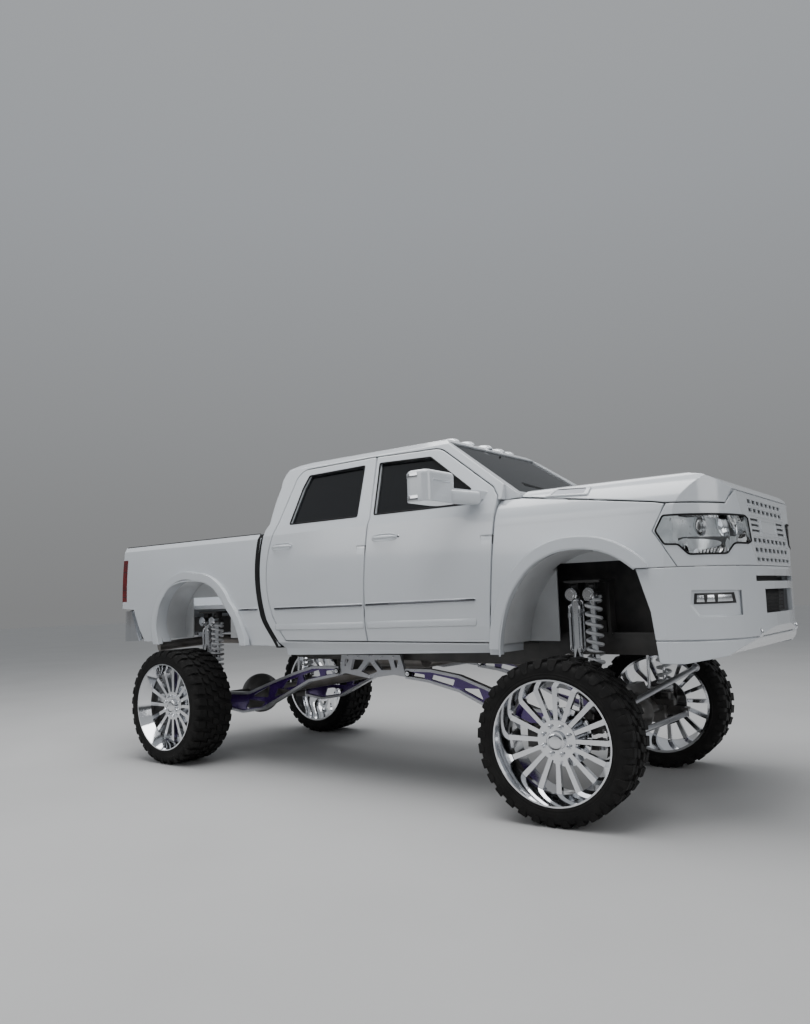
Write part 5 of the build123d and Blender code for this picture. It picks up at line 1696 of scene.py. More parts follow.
@dataclass
class Lamps:
    """Headlamps with their inner parts, fog lamps, tail lamps and mirrors.

    Attributes:
        nodes: The frame's nodes by name.
        skin: Finds the body's surface.
        inner_edge: Distance of a headlamp's inner edge from the middle.
        nose: How far forward a headlamp's outline still lies on the side.
    """

    nodes: Nodes
    skin: Skin
    inner_edge: float = 0.491
    nose: float = 2.966

    def build(self) -> None:
        """Makes every lamp and dresses the mirrors."""
        self._headlamp_shells()
        for side in Side:
            seal = Shape()
            seal.tube(self._outline(side), 0.0062, 8, closed=True)
            seal.piece(f"headlamp_seal_{side.word}", SEAL_RUBBER, slot="clear_lens")
            self._headlamp_inside(side)
            self._fog_lamp(side)
            self._tail_lamp(side)
            self._mirror(side)
            self._mirror_shells(side)

    def _headlamp_shells(self) -> None:
        """Splits the CAD lamp into a clear outer lens and the bowl behind it."""
        thing = self.nodes["headlamps"]
        lens, bowl = Shape(), Shape()
        for poly in thing.data.polygons:
            corners = [thing.matrix_world @ thing.data.vertices[i].co for i in poly.vertices]
            middle = sum(corners, Vector()) / len(corners)
            normal = (thing.matrix_world.to_3x3() @ poly.normal).normalized()
            out = Vector((middle.x - 2.35, middle.y * 0.85, 0.0)).normalized()
            curved = abs(normal.y) > 0.02 or middle.x > 2.93
            if normal.dot(out) > 0.25 and curved and abs(normal.y) < 0.9995:
                lens.face(corners)
            else:
                bowl.face([c - normal * 0.0012 for c in corners])
        shell = lens.piece("headlamp_lenses", CLEAR_LENS, smooth=50.0)
        thick = shell.modifiers.new("thickness", "SOLIDIFY")
        thick.thickness = 0.003
        thick.offset = -1.0
        bake_modifiers(shell)
        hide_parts("headlamps")
        # The bowl glows with its finish's painted light, not with a lamp of its own.
        inside = bowl.piece("headlamp_bowls", LAMP_BOWL, smooth=30.0)
        inside.data.flip_normals()

    def _outline(self, side: Side) -> list[Point]:
        """Draws the headlamp's outline on the skin.

        Args:
            side: Side of the truck.

        Returns:
            The outline in space.
        """
        corners = rounded_path((
            (3.06, 1.873), (2.620, 1.880), (2.572, 1.790), (2.624, 1.706), (2.700, 1.702),
            (2.752, 1.640), (2.922, 1.640), (2.950, 1.704), (3.06, 1.706),
        ), 0.014, 4)
        path = []
        for (x, z), (nx, nz) in zip(corners, corners[1:] + corners[:1]):
            steps = max(1, int(math.hypot(nx - x, nz - z) / 0.012))
            for k in range(steps):
                px, pz = x + (nx - x) * k / steps, z + (nz - z) * k / steps
                y = self.skin.side(px, pz, side)
                if px < self.nose and y > self.inner_edge:
                    path.append((px, side.value * y, pz))
        split = max(range(len(path)), key=lambda i: math.dist(path[i - 1], path[i]))
        path = path[split:] + path[:split]
        top, low = path[0][2], path[-1][2]
        across = (0.62, 0.58, 0.54)
        inner = [(y, low) for y in across]
        inner += [(self.inner_edge, low + (top - low) * k / 12) for k in range(1, 12)]
        inner += [(y, top) for y in reversed(across)]
        for out, z in inner:
            y = side.value * out
            path.append((max(self.skin.front(y, z + d) for d in (0.008, -0.008)), y, z))
        return path

    def _headlamp_inside(self, side: Side) -> None:
        """Makes a headlamp's projector, reflector cups, ribs and strip of small lamps.

        Args:
            side: Side of the truck.
        """
        sign = side.value
        bright, dark, glass, glow = Shape(), Shape(), Shape(), Shape()
        way = Vector((0.93, sign * 0.36, 0.0)).normalized()
        for out, z, radius, projector in (
            (0.870, 1.800, 0.048, True), (0.735, 1.797, 0.052, False), (0.595, 1.792, 0.052, False)
        ):
            centre = Vector((self.skin.front(sign * out, z), sign * out, z)) - way * 0.040
            bright.turned(centre, way, (
                (-0.030, radius * 0.30), (-0.022, radius * 0.72), (-0.004, radius * 0.97),
                (0.004, radius + 0.004), (0.007, radius + 0.004), (0.007, radius),
                (0.0, radius * 0.93), (-0.016, radius * 0.68), (-0.025, radius * 0.28),
            ), 40)
            if projector:
                glass.turned(centre, way, (
                    (-0.016, 0.031), (-0.006, 0.031), (0.004, 0.026), (0.011, 0.016),
                    (0.014, 0.004),
                ), 32)
                rim = ((-0.022, 0.034), (-0.004, 0.036), (-0.004, 0.0315), (-0.02, 0.031))
                dark.turned(centre, way, rim, 32)
            else:
                bulb = ((-0.024, 0.009), (-0.010, 0.009), (-0.006, 0.006), (-0.005, 0.001))
                glow.turned(centre, way, bulb, 20)
        for z in (1.742, 1.856):
            rows = []
            for i in range(25):
                out = 0.505 + 0.425 * i / 24
                x = self.skin.front(sign * out, z) - 0.020
                section = ((0, -0.002), (0, 0.002), (0.045, 0.004), (0.045, -0.004))
                rows.append([(x - d, sign * out, z + h) for d, h in section])
            dark.loops(rows)
        for i in range(9):
            y, z = sign * (0.66 + 0.03 * i), 1.668
            x = self.skin.front(y, z)
            glow.rod((x - 0.034, y, z), (x - 0.016, y, z), 0.008, 16)
        word = side.word
        bright.piece(f"headlamp_cups_{word}", LAMP_WHITE, slot="bright_chrome", smooth=60.0)
        dark.piece(f"headlamp_ribs_{word}", TRIM_BLACK)
        glass.piece(f"projector_lens_{word}", CLEAR_LENS, smooth=60.0)
        glow.piece(f"headlamp_strip_{word}", LAMP_GLOW, smooth=60.0)

    def _skin_patch(
        self, form: Shape, side: Side, span: Flat, heights: Flat, lift: Flat, nip: float
    ) -> None:
        """Adds a slab that follows the skin, between two places along the side.

        Args:
            form: The piece's faces.
            side: Side of the truck.
            span: First and last place along the truck.
            heights: Lowest and highest edge.
            lift: How far its back and its face stand off the skin.
            nip: How far the upper edge is shorter at both ends.
        """
        rows = []
        steps = 16
        for i in range(steps + 1):
            row = []
            for z, short in zip(heights, (0.0, nip)):
                x = span[0] + short + (span[1] - span[0] - 2 * short) * i / steps
                y = self.skin.side(x, z, side)
                ahead = self.skin.side(x + 0.01, z, side)
                way = Vector((y - ahead, side.value * 0.01, 0.0)).normalized()
                base = Vector((x, side.value * y, z))
                row.append([base + way * off for off in lift])
            rows.append(row[0] + row[1][::-1])
        form.loops(rows)

    def _fog_lamp(self, side: Side) -> None:
        """Makes a dark fog lamp with bright elements in its bezel.

        Args:
            side: Side of the truck.
        """
        bezel, bits = Shape(), Shape()
        self._skin_patch(bezel, side, (2.755, 2.935), (1.343, 1.407), (-0.004, 0.0035), 0.006)
        bezel.piece(f"fog_bezel_{side.word}", TRIM_BLACK, bevel=0.0015)
        for span in ((2.768, 2.805), (2.815, 2.852), (2.862, 2.922)):
            self._skin_patch(bits, side, span, (1.355, 1.395), (0.002, 0.0062), 0.004)
        bits.piece(f"fog_elements_{side.word}", LAMP_WHITE, bevel=0.0015)

    def _tail_lamp(self, side: Side) -> None:
        """Makes the tail lamp's dark bars and its reversing lamp.

        Args:
            side: Side of the truck.
        """
        bars, clear = Shape(), Shape()
        back = -2.95
        for z in (1.53, 1.60, 1.78, 1.85):
            out = self.skin.side(back, z, side)
            for x0, x1, near, far in (
                (-2.9885, -2.984, out - 0.085, out - 0.012),
                (-2.975, -2.915, out - 0.004, out + 0.0015),
            ):
                y0, y1 = side.span(near, far)
                bars.box((x0, y0, z - 0.003), (x1, y1, z + 0.003), round_by=0.001)
        bars.piece(f"tail_lamp_bars_{side.word}", TRIM_BLACK, slot="red_lens")
        out = self.skin.side(back, 1.69, side)
        y0, y1 = side.span(out - 0.082, out - 0.015)
        clear.box((-2.990, y0, 1.645), (-2.9835, y1, 1.735), round_by=0.002)
        clear.piece(f"reversing_lamp_{side.word}", LAMP_WHITE)

    def _mirror(self, side: Side) -> None:
        """Makes the mirror's faces, their frame and the lamp in the shell.

        Args:
            side: Side of the truck.
        """
        x = 0.9835
        plates = (
            ("faces", MIRROR_FACE, "bright_chrome", 0.0015, (1.105, 1.335), (
                (x, x + 0.0035, 2.175, 2.285), (x, x + 0.0035, 2.105, 2.155),
            )),
            ("frame", TRIM_BLACK, "cabin_plastic", 0.0006, (1.095, 1.345), (
                (x - 0.001, x + 0.002, 2.095, 2.295),
            )),
            ("lamp", LAMP_CLEAR, "red_lens", 0.003, (1.12, 1.33), (
                (1.182, 1.1885, 2.228, 2.242),
            )),
        )
        for name, finish, slot, edge, out, blocks in plates:
            form = Shape()
            y0, y1 = side.span(*out)
            for x0, x1, z0, z1 in blocks:
                form.box((x0, y0, z0), (x1, y1, z1), round_by=edge)
            form.piece(f"mirror_{name}_{side.word}", finish, f"front_door_{side.word}", slot)

    def _mirror_shells(self, side: Side) -> None:
        """Makes the bright caps round the mirror's outer corner and the shell of its arm.

        Args:
            side: Side of the truck.
        """
        sign, body = side.value, f"front_door_{side.word}"
        caps = Shape()
        mid_x, mid_y, bend = 1.045, 1.340, 0.060
        arc = [
            (mid_x - bend * math.sin(a), mid_y + bend * math.cos(a))
            for a in (math.pi / 2 * i / 8 for i in range(9))
        ]
        plan = [(1.100, 1.400), *arc, (0.985, 1.325)]
        for low, high in ((2.088, 2.128), (2.248, 2.284)):
            rows = []
            for z, out in (
                (low - 0.002, -0.004), (low, 0.0015), (low + 0.003, 0.003), (high - 0.003, 0.003),
                (high, 0.0015), (high + 0.002, -0.004),
            ):
                outer = [(x, y, 1 + out / bend) for x, y in plan]
                inner = [(x, y, 0.85) for x, y in reversed(plan)]
                rows.append([
                    (mid_x + (x - mid_x) * scale, sign * (mid_y + (y - mid_y) * scale), z)
                    for x, y, scale in outer + inner
                ])
            caps.loops(rows)
        caps.piece(f"mirror_caps_{side.word}", CHROME, body, smooth=50.0)
        arm = Shape()
        rows = []
        for share in (0.0, 0.2, 0.45, 0.7, 0.9, 1.0):
            x, z = 1.290 - 0.165 * share, 2.118 + 0.022 * share
            y = sign * (0.985 + 0.135 * share)
            rows.append([(x + 0.058 * c, y, z + 0.048 * s) for c, s in ring(28, 0.6, 0.6)])
        arm.loops(rows)
        arm.piece(f"mirror_arm_shell_{side.word}", PEARL_WHITE, body, smooth=60.0)


@dataclass(frozen=True)
class GrilleRow:
    """One row of slots in the grille.

    Attributes:
        z: Height of the row's middle.
        tall: Height of its slots.
        count: Slots that would fit across.
        bare: Slots left out in the middle.
    """

    z: float
    tall: float
    count: int = 8
    bare: int = 0


GRILLE = (
    GrilleRow(1.975, 0.030), GrilleRow(1.920, 0.030), GrilleRow(1.858, 0.020, 4, 2),
    GrilleRow(1.823, 0.020, 4, 2), GrilleRow(1.788, 0.020, 4, 2), GrilleRow(1.727, 0.032),
    GrilleRow(1.665, 0.032), GrilleRow(1.604, 0.026),
)


@dataclass
class FrontEnd:
    """Grille inserts and bars, backing, lower opening and tow hooks.

    Attributes:
        skin: Finds the body's surface.
        half_width: Half width of the grille.
        bar: Width of the grille's upright bars.
    """

    skin: Skin
    half_width: float = 0.430
    bar: float = 0.026

    def build(self) -> None:
        """Makes the front end's parts."""
        core = Shape()
        core.box((2.885, -0.47, 1.20), (2.905, 0.47, 2.02), round_by=0.004)
        core.piece("grille_backing", TRIM_BLACK)
        self._inserts()
        self._bars()
        self._lower_mesh()
        self._hooks()

    def _inserts(self) -> None:
        """Makes a dark mesh insert just behind the face of every slot, with a lip under it."""
        dark, lips = Shape(), Shape()
        for row in GRILLE:
            pitch = 2 * self.half_width / row.count
            half = (pitch - self.bar) / 2 - 0.0004
            high = row.tall / 2 - 0.0004
            for i in range(row.count):
                step = i - (row.count - 1) / 2
                if abs(step) <= row.bare / 2:
                    continue
                inner, lip = [], []
                for k in range(-2, 3):
                    y = step * pitch + half * k / 2
                    beside = row.tall / 2 + 0.006
                    x = min(self.skin.front(y, row.z + d) for d in (beside, -beside))
                    rise = 0.0045 * (1 - (k / 2) ** 2) - high
                    inner.append([(x + d, y, row.z + h) for d, h in (
                        (-0.010, -high), (-0.007, 0.0), (-0.010, high), (-0.030, high),
                        (-0.030, -high),
                    )])
                    lip.append([(x + d, y, row.z + h) for d, h in (
                        (-0.009, -high), (0.001, -high), (0.001, 0.002 + rise),
                        (-0.009, 0.003 + rise),
                    )])
                dark.loops(inner)
                lips.loops(lip)
        dark.piece("grille_inserts", GRILLE_DARK)
        lips.piece("grille_slot_lips", PEARL_WHITE, smooth=30.0)

    def _bars(self) -> None:
        """Makes slim raised bars between the rows and a frame round the bare middle."""
        rims = Shape()
        lines = [
            (a.z - a.tall / 2 + b.z + b.tall / 2) / 2 for a, b in zip(GRILLE, GRILLE[1:])
        ]
        section = ((-0.003, -1.0), (0.003, -0.85), (0.0062, 0.0), (0.003, 0.85), (-0.003, 1.0))
        for z in lines[:2] + lines[4:]:
            rows = []
            for i in range(-20, 21):
                y = self.half_width * 1.02 * i / 20
                x = self.skin.front(y, z)
                fade = 0.35 if abs(i) == 20 else 1.0
                rows.append([(x + d * fade, y, z + h * 0.0062 * fade) for d, h in section])
            rims.loops(rows)
        frame = rounded_box((0.0, 1.823), 0.372, 0.078, 0.02, 5)
        path = [(self.skin.front(y, z) - 0.0005, y, z) for y, z in frame]
        rims.tube(path, 0.0042, 8, closed=True)
        rims.piece("grille_bars", PEARL_WHITE, smooth=50.0)

    def _lower_mesh(self) -> None:
        """Makes the mesh in the lower opening and in the slot above it."""
        mesh = Shape()
        for i in range(27):
            y = -0.34 + i * 0.68 / 26
            mesh.rod((2.965, y - 0.012, 1.271), (2.965, y + 0.012, 1.419), 0.0025, 6)
        mesh.box((2.925, -0.46, 1.471), (2.935, 0.46, 1.503))
        bars = [(2.962, 0.348, 1.285 + i * 0.024, 0.0028) for i in range(6)]
        bars += [(2.938, 0.45, z, 0.0022) for z in (1.479, 1.487, 1.495)]
        for x, half, z, radius in bars:
            mesh.rod((x, -half, z), (x, half, z), radius, 6)
        mesh.piece("lower_mesh", TRIM_BLACK)

    def _hooks(self) -> None:
        """Makes two bright tow hooks and their brackets under the bumper's opening."""
        hooks = Shape()
        for side in Side:
            y = side.value * 0.46
            eye = [(2.965 + 0.042 * c, y, 1.155 + 0.034 * s) for c, s in ring(28)]
            hooks.tube(eye, 0.0105, closed=True)
            hooks.box((2.86, y - 0.016, 1.130), (2.945, y + 0.016, 1.180), round_by=0.005)
        hooks.piece("front_tow_hooks", CHROME, smooth=60.0)


@dataclass(frozen=True)
class Cushion:
    """One stuffed piece of a seat, before its cloth fills.

    Attributes:
        name: Name of the piece.
        size: Length, width and thickness.
        crown: How far its broad faces stand up in the middle.
        squareness: Power of the plan's rounding, higher for squarer corners.
        channels: Stitched channels across it.
    """

    name: str
    size: tuple[float, float, float]
    crown: float
    squareness: float = 5.0
    channels: int = 4


@dataclass
class Seats:
    """Front chairs and a rear bench of stuffed, stitched leather pieces.

    Attributes:
        pressure: Pressure inside a cushion's cloth.
        voxel: Size of the remeshed cloth's faces.
        swell: Most that the cloth may move out.
        groove: Half width of a stitched groove.
        last_frame: Frame at which the cloth is kept.
        chair: Distance of the front chairs from the middle.
    """

    pressure: float = 4.0
    voxel: float = 0.009
    swell: float = 0.012
    groove: float = 0.007
    last_frame: int = 20
    chair: float = 0.40

    def build(self) -> None:
        """Makes the seats in place of the CAD blocks."""
        base = self._filled(Cushion("front_base", (0.50, 0.50, 0.13), 0.016))
        back = self._filled(Cushion("front_back", (0.66, 0.50, 0.11), 0.018, channels=5))
        head = self._filled(Cushion("headrest", (0.165, 0.26, 0.085), 0.012, 3.5, 0))
        bench = self._filled(Cushion("bench_base", (0.50, 0.49, 0.13), 0.014))
        rest = self._filled(Cushion("bench_back", (0.60, 0.49, 0.10), 0.014, channels=5))
        made = []
        for side in Side:
            y = side.value * self.chair
            made += [
                (base, f"front_seat_base_{side.word}", (0.50, y, 1.445), 4.0),
                (back, f"front_seat_back_{side.word}", (0.185, y, 1.82), 76.0),
                (head, f"front_headrest_{side.word}", (0.085, y, 2.215), 80.0),
            ]
        for number, y in ((1, -0.505), (2, 0.0), (3, 0.505)):
            made += [
                (bench, f"rear_seat_base_{number}", (-0.49, y, 1.445), 4.0),
                (rest, f"rear_seat_back_{number}", (-0.705, y, 1.80), 78.0),
            ]
            if y:
                made.append((head, f"rear_headrest_{number}", (-0.765, y, 2.165), 84.0))
        first = None
        for mesh, name, spot, lean in made:
            thing = put(name, mesh.copy())
            turn = Matrix.Rotation(math.radians(-lean), 4, "Y")
            thing.data.transform(Matrix.Translation(spot) @ turn)
            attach(thing, ROOT)
            LOG.info("%s: %d faces", name, len(thing.data.polygons))
            first = first or thing
        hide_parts("seats")
        self._frames()

    def _filled(self, cushion: Cushion) -> bpy.types.Mesh:
        """Makes a cushion's closed form and lets cloth pressure fill it.

        Args:
            cushion: The cushion's sizes.

        Returns:
            The filled mesh, about its own middle.
        """
        form = Shape()
        long, wide, thick = cushion.size
        rings = 9
        plan = ring(96, 2.0 / cushion.squareness, 2.0 / cushion.squareness)
        rows = []
        for k in range(rings + 1):
            polar = -math.pi / 2 + math.pi * k / rings
            edge = 0.06 + 0.94 * abs(math.cos(polar)) ** 0.35
            z = math.sin(polar) * thick / 2
            rows.append([(c * long / 2 * edge, s * wide / 2 * edge, z) for c, s in plan])
        form.loops(rows)
        bmesh.ops.recalc_face_normals(form.mesh, faces=form.mesh.faces)
        thing = form.thing(cushion.name, SEAT_LEATHER)
        remesh = thing.modifiers.new("even_faces", "REMESH")
        remesh.mode = "VOXEL"
        remesh.voxel_size = self.voxel
        bake_modifiers(thing)
        self._channel(thing.data, cushion)
        self._inflate(thing)
        thing.data.shade_smooth()
        mesh = thing.data
        bpy.data.objects.remove(thing)
        return mesh

    def _channel(self, mesh: bpy.types.Mesh, cushion: Cushion) -> None:
        """Crowns the broad faces and presses stitched channels into them.

        Args:
            mesh: The cushion's mesh.
            cushion: The cushion's sizes.
        """
        long, wide, thick = cushion.size
        for v in mesh.vertices:
            u = min(1.0, abs(v.co.x) / (long / 2))
            w = min(1.0, abs(v.co.y) / (wide / 2))
            face = math.copysign(1.0, v.co.z) * max(0.0, abs(v.co.z) / (thick / 2) - 0.4)
            v.co.z += face * cushion.crown * (1 - u ** 2) * (1 - w ** 2) / 0.6
            if not cushion.channels:
                continue
            bolster = abs(v.co.y) - wide * 0.31
            depth = math.exp(-(bolster / self.groove) ** 2)
            if bolster < 0:
                pitch = long * 0.8 / cushion.channels
                phase = (v.co.x + long * 0.4) / pitch
                near = (phase - round(phase)) * pitch
                if 0.3 < phase < cushion.channels + 0.3:
                    depth = max(depth, math.exp(-(near / self.groove) ** 2))
            else:
                v.co.z += face * 0.016 * min(1.0, bolster / 0.03)
            v.co.z -= face * 0.011 * depth

    def _inflate(self, thing: Thing) -> None:
        """Runs the cloth over its frames and keeps a bounded part of its swelling.

        Args:
            thing: The cushion.
        """
        rest = [v.co.copy() for v in thing.data.vertices]
        cloth = thing.modifiers.new("stuffing", "CLOTH")
        setup = cloth.settings
        setup.use_pressure = True
        setup.uniform_pressure_force = self.pressure
        setup.effector_weights.gravity = 0.0
        setup.tension_stiffness = setup.compression_stiffness = 40.0
        setup.shear_stiffness = 20.0
        setup.bending_stiffness = 2.0
        setup.quality = 4
        cloth.collision_settings.use_collision = False
        cloth.point_cache.frame_start = 1
        cloth.point_cache.frame_end = self.last_frame
        scene = bpy.context.scene
        for number in range(1, self.last_frame + 1):
            scene.frame_set(number)
        bake_modifiers(thing)
        for v, start in zip(thing.data.vertices, rest):
            move = v.co - start
            if move.length > self.swell:
                v.co = start + move.normalized() * self.swell
        scene.frame_set(1)

    def _frames(self) -> None:
        """Makes seat bases, recliner covers, the console and the headrests' posts."""
        form, posts = Shape(), Shape()
        for side in Side:
            y = side.value * self.chair
            form.box((0.26, y - 0.21, 1.165), (0.68, y + 0.21, 1.36), round_by=0.02)
            for near in (y - 0.252, y + 0.236):
                form.box((0.16, near, 1.30), (0.56, near + 0.016, 1.40), round_by=0.007)
        form.box((-0.74, -0.74, 1.166), (-0.27, 0.74, 1.37), round_by=0.02)
        form.box((0.24, -0.11, 1.166), (0.98, 0.11, 1.46), round_by=0.03)
        form.box((0.22, -0.105, 1.46), (0.50, 0.105, 1.52), round_by=0.02)
        form.piece("seat_bases_and_console", CABIN_PLASTIC)
        for x, z, middle in ((0.095, 2.14, self.chair), (-0.768, 2.08, 0.505)):
            for y in (-middle - 0.05, 0.05 - middle, middle - 0.05, middle + 0.05):
                posts.rod((x + 0.012, y, z - 0.06), (x - 0.005, y, z + 0.05), 0.0055, 12)
        posts.piece("headrest_posts", CHROME)


@dataclass
class Cabin:
    """Dash screen, gauges, column stalks, pedals, inner mirror, carpet and armrests.

    Attributes:
        driver: Distance of the driver's place to the left.
        floor: Height of the floor.
    """

    driver: float = 0.40
    floor: float = 1.1665

    def build(self) -> None:
        """Makes the cab's fittings."""
        dark, bright = Shape(), Shape()
        for spot, lean, low, high, edge in (
            ((1.128, 0.0, 1.965), -12, (-0.012, -0.115, -0.085), (0.012, 0.115, 0.085), 0.006),
            ((1.19, self.driver, 2.075), -8, (-0.11, -0.19, -0.02), (0.09, 0.19, 0.025), 0.018),
        ):
            turn = Matrix.Rotation(math.radians(lean), 4, "Y")
            dark.box(low, high, Matrix.Translation(spot) @ turn, edge)
        vent = ((0.0, 0.046), (0.006, 0.046), (0.008, 0.041), (0.004, 0.036), (0.003, 0.002))
        for y in (-0.66, -0.17, 0.17, 0.66):
            bright.turned((1.118, y, 2.035), (-1, 0, 0.25), vent, 28)
        column = Vector((-370, 0, 110)).to_track_quat("Z", "Y").to_matrix().to_4x4()
        hub = ((-0.02, 0.045), (0.006, 0.068), (0.016, 0.066), (0.022, 0.052), (0.024, 0.001))
        pad = Shape()
        pad.turned((0, 0, 0), UPRIGHT, hub, 40)
        dark.add(pad, Matrix.Translation((0.880, self.driver, 2.010)) @ column)
        pad.mesh.free()
        for side in Side:
            tip = (0.955, self.driver + side.value * 0.185, 2.02)
            dark.rod((0.985, self.driver, 1.985), tip, 0.0085, 10)
        for y, z in ((0.30, 1.31), (0.44, 1.36), (0.18, 1.29)):
            dark.box((1.24, y - 0.035, z - 0.05), (1.262, y + 0.035, z + 0.05), round_by=0.006)
            bright.rod((1.262, y, z), (1.40, y, z + 0.14), 0.008, 10)
        dark.rod((0.90, 0.0, 1.46), (0.86, 0.0, 1.57), 0.011, 14)
        knob = ((-0.02, 0.016), (-0.006, 0.026), (0.012, 0.026), (0.022, 0.014), (0.024, 0.001))
        dark.turned((0.855, 0.0, 1.585), UPRIGHT, knob, 24)
        dark.piece("cabin_controls", TRIM_BLACK)
        bright.piece("cabin_vents_and_pedals", CHROME)
        mirror, carpet = Shape(), Shape()
        mirror.box((0.905, -0.13, 2.455), (0.925, 0.13, 2.525), round_by=0.01)
        mirror.rod((0.915, 0.0, 2.52), (0.935, 0.0, 2.585), 0.008, 12)
        mirror.piece("inner_mirror", TRIM_BLACK)
        for x0, x1 in ((-0.24, 0.19), (0.72, 1.36)):
            carpet.box((x0, -0.82, self.floor), (x1, 0.82, self.floor + 0.0075), round_by=0.002)
        carpet.piece("floor_carpet", SEAL_RUBBER)
        for side in Side:
            for door in DOORS:
                self._armrest(door, side)

    def _armrest(self, door: Door, side: Side) -> None:
        """Makes a door's armrest, pocket and pull.

        Args:
            door: The door.
            side: Side of the truck.
        """
        form = Shape()
        low, high = door.armrest
        card, pull = side.value * 0.889, side.value * 0.855
        y0, y1 = side.span(0.830, 0.891)
        form.box((low, y0, 1.60), (high, y1, 1.655), round_by=0.018)
        form.box((low + 0.05, y0 + 0.02, 1.40), (high - 0.02, y1, 1.43), round_by=0.01)
        form.rod((high - 0.16, pull, 1.80), (high - 0.05, pull, 1.80), 0.011, 14)
        for x in (high - 0.155, high - 0.055):
            form.rod((x, card, 1.80), (x, pull, 1.80), 0.008, 10)
        form.piece(f"{door.end}_armrest_{side.word}", CABIN_PLASTIC, door.body(side))


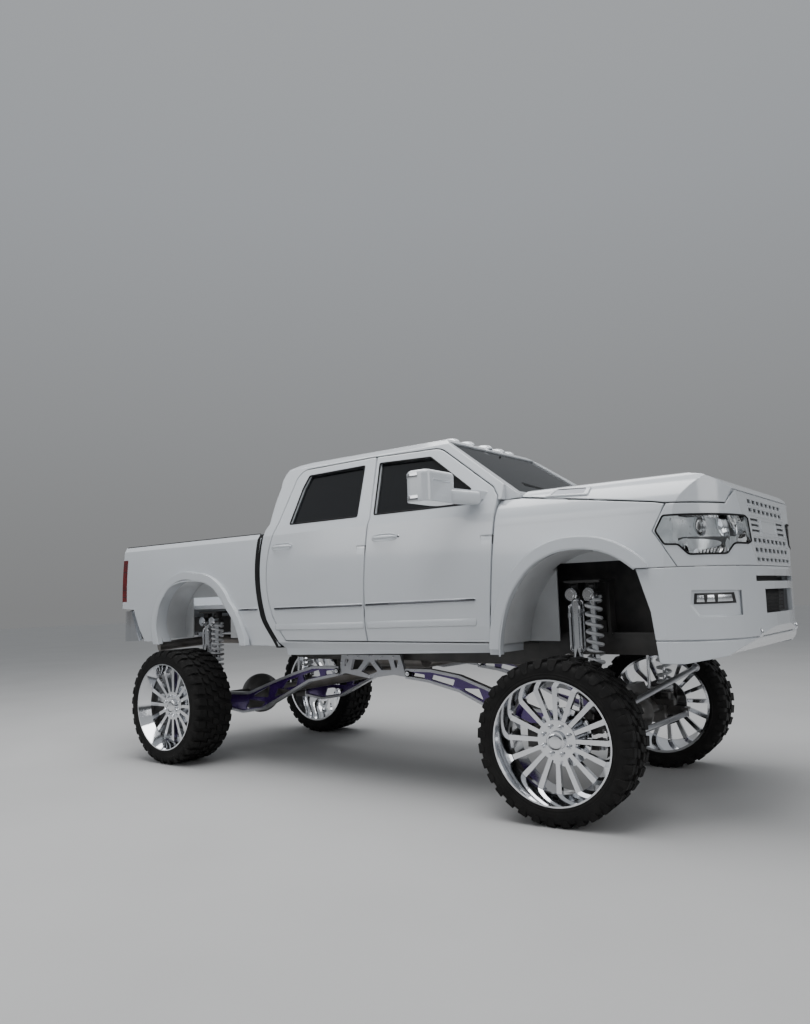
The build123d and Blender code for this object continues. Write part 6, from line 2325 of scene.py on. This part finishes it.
@dataclass
class BedAndRear:
    """Rail caps, tie rings, the bed's ribs, and the tailgate's and rear bumper's trim.

    Attributes:
        skin: Finds the body's surface.
        gate: How far back the tailgate's face stands.
    """

    skin: Skin
    gate: float = -2.985

    def build(self) -> None:
        """Makes the rear's parts."""
        for side in Side:
            cap = Shape()
            rows = []
            for x, rise in (
                (-2.978, 0.002), (-2.96, 0.0075), (-2.2, 0.0075), (-1.4, 0.0075),
                (-0.975, 0.0075), (-0.958, 0.002),
            ):
                top = 2.0305 + rise
                rows.append([(x, side.value * y, z) for y, z in (
                    (0.906, 2.026), (0.908, top - 0.002), (0.912, top), (0.9415, top),
                    (0.9455, top - 0.002), (0.9475, 2.026),
                )])
            cap.loops(rows)
            cap.piece(f"bed_rail_cap_{side.word}", TRIM_BLACK)
        ribs, ties = Shape(), Shape()
        for i in range(12):
            y, z = -0.583 + i * 0.106, 1.419
            ribs.loops([
                [(x, y - 0.026, z), (x, y - 0.020, z + h), (x, y + 0.020, z + h), (x, y + 0.026, z)]
                for x, h in ((-2.905, 0.0015), (-2.89, 0.010), (-1.06, 0.010), (-1.045, 0.0015))
            ])
        ribs.piece("bed_floor_ribs", PEARL_WHITE)
        for x in (-2.80, -1.12):
            for side in Side:
                sign = side.value
                eye = [(x + 0.028 * c, sign * 0.872, 1.90 + 0.028 * s) for c, s in ring(24)]
                ties.tube(eye, 0.005, 10, closed=True)
                ties.rod((x, sign * 0.903, 1.928), (x, sign * 0.868, 1.928), 0.011, 16)
        ties.piece("bed_tie_rings", CHROME)
        self._tailgate()
        self._bumper()

    def _pressed(
        self, x: float, outline: Sequence[Flat], height: float, steps: Iterable[Flat]
    ) -> Shape:
        """Steps an outline in and out of a face at the rear.

        Args:
            x: How far back the face stands.
            outline: The outline about its middle, in rear view.
            height: Height of its middle.
            steps: Scales of the outline and their distances from the face.

        Returns:
            The pressing.
        """
        form = Shape()
        form.loops([
            [(x + depth, y * scale, height + z * scale) for y, z in outline]
            for scale, depth in steps
        ])
        return form

    def _tailgate(self) -> None:
        """Makes the tailgate's handle in its cup, its pressing, its top cap and a camera."""
        gate, body = self.gate, "tail_gate"
        cup = self._pressed(
            gate, rounded_box((0.0, 0.0), 0.29, 0.09, 0.025, 5), 1.905,
            ((1.0, 0.004), (1.0, -0.003), (0.9, -0.0036), (0.86, -0.0005)),
        )
        cup.piece("tailgate_handle_cup", TRIM_BLACK, body)
        grip = Shape()
        grip.box((-3.008, -0.115, 1.900), (-2.992, 0.115, 1.934), round_by=0.007)
        for y in (-0.095, 0.095):
            grip.box((-2.996, y - 0.012, 1.905), (-2.983, y + 0.012, 1.929), round_by=0.003)
        grip.piece("tailgate_handle", PEARL_WHITE, body)
        press = self._pressed(
            gate, rounded_box((0.0, 0.005), 1.48, 0.24, 0.05, 6), 1.62,
            ((1.0, 0.002), (0.992, -0.0045), (0.975, -0.0055)),
        )
        press.piece("tailgate_pressing", PEARL_WHITE, body, smooth=25.0)
        cap = Shape()
        rows = []
        for y in (-0.892, -0.88, -0.4, 0.0, 0.4, 0.88, 0.892):
            flat = 0.3 if abs(y) > 0.885 else 1.0
            rows.append([
                (gate, y, 2.012), (gate - 0.016 * flat, y, 2.030),
                (-2.980 - 0.010 * flat, y, 2.030 + 0.009 * flat),
                (-2.935, y, 2.030 + 0.006 * flat), (-2.932, y, 2.029),
            ])
        cap.loops(rows)
        cap.piece("tailgate_top_cap", TRIM_BLACK, body)
        eye = Shape()
        eye.rod((-2.986, 0.0, 1.845), (-2.996, 0.0, 1.845), 0.011, 20)
        eye.piece("rear_view_camera", TRIM_BLACK, body)

    def _bumper(self) -> None:
        """Makes the rear bumper's step pads, parking sensors and the plate's recess."""
        pads, dots = Shape(), Shape()
        pitch = 0.028
        for y0, y1, x in ((-0.90, -0.47, -2.998), (-0.36, 0.36, -3.018), (0.47, 0.90, -2.998)):
            pads.box((x, y0, 1.3865), (-2.945, y1, 1.3945), round_by=0.003)
            for i in range(int((y1 - y0) / pitch)):
                y = y0 + 0.018 + i * pitch
                low, high = (x + 0.006, y, 1.394), (-2.950, y + 0.012, 1.3975)
                pads.box(low, high, round_by=0.001)
        pads.piece("bumper_step_pads", TRIM_BLACK)
        dome = ((0.0, 0.014), (0.003, 0.013), (0.004, 0.010), (0.0045, 0.001))
        for y in (-0.72, -0.32, 0.32, 0.72):
            dots.turned((self.skin.back(y, 1.27) + 0.002, y, 1.27), AFT, dome, 20)
        dots.piece("parking_sensors", TRIM_BLACK)
        recess = self._pressed(
            self.skin.back(0.0, 1.27), rounded_box((0.0, 0.0), 0.38, 0.15, 0.02, 4), 1.265,
            ((1.0, 0.004), (1.0, -0.003), (0.94, -0.0035), (0.9, 0.0)),
        )
        recess.piece("plate_recess", TRIM_BLACK)


def dress_frame(nodes: Nodes) -> None:
    """Gives every carried-over CAD node its finish.

    Args:
        nodes: The frame's nodes by name.
    """
    words = [side.word for side in Side]
    paired = ("cab_side", "fender", "bed_side", "door_front", "door_rear")
    dress(nodes, [f"{name}_{word}" for name in paired for word in words], PEARL_WHITE)
    dress(nodes, [f"knuckle_{word}" for word in words], CHASSIS_BLACK)
    dress(nodes, [f"rim_{spot.word}" for spot in WHEELS], POLISHED_RIM)
    dress(nodes, [f"tyre_{spot.word}" for spot in WHEELS], TYRE_RUBBER)
    dress(nodes, [name for name in nodes if name.startswith("door_glass")], TINTED_GLASS)
    for finish, names in (
        (PEARL_WHITE, "cab_floor cab_roof cab_back bed_tub hood tailgate"),
        (PEARL_WHITE, "front_fascia front_bumper"),
        (LINER_WHITE, "wheel_liners"),
        (CHROME, "rear_bumper"),
        (WINDSHIELD_GLASS, "cab_glass"),
        (CABIN_PLASTIC, "dashboard"),
        (SEAT_LEATHER, "seats"),
        (CLEAR_LENS, "headlamps"),
        (LENS_RED, "tail_lamps"),
        (CHASSIS_BLACK, "frame front_axle rear_axle"),
        (CAST_DARK, "engine"),
        (DULL_STEEL, "driveline exhaust"),
        (TANK_BLACK, "fuel_tank"),
        (ARM_SILVER, "suspension_arms centre_truss tie_rod drag_link pitman_arm"),
        (CANDY_PURPLE, "arm_webs"),
        (SPRING_WHITE, "shocks"),
    ):
        dress(nodes, names.split(), finish)


def main() -> None:
    """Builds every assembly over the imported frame."""
    logging.basicConfig(level=logging.INFO, format="%(message)s")
    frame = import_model()
    dress_frame(frame["nodes"])
    Studio().build()
    skin = Skin(frame["nodes"])
    MudTyre().build()
    WheelFittings().build()
    Suspension().build()
    BodyTrim(skin).build()
    Lamps(frame["nodes"], skin).build()
    FrontEnd(skin).build()
    Seats().build()
    Cabin().build()
    BedAndRear(skin).build()


if __name__ == "__main__":
    main()
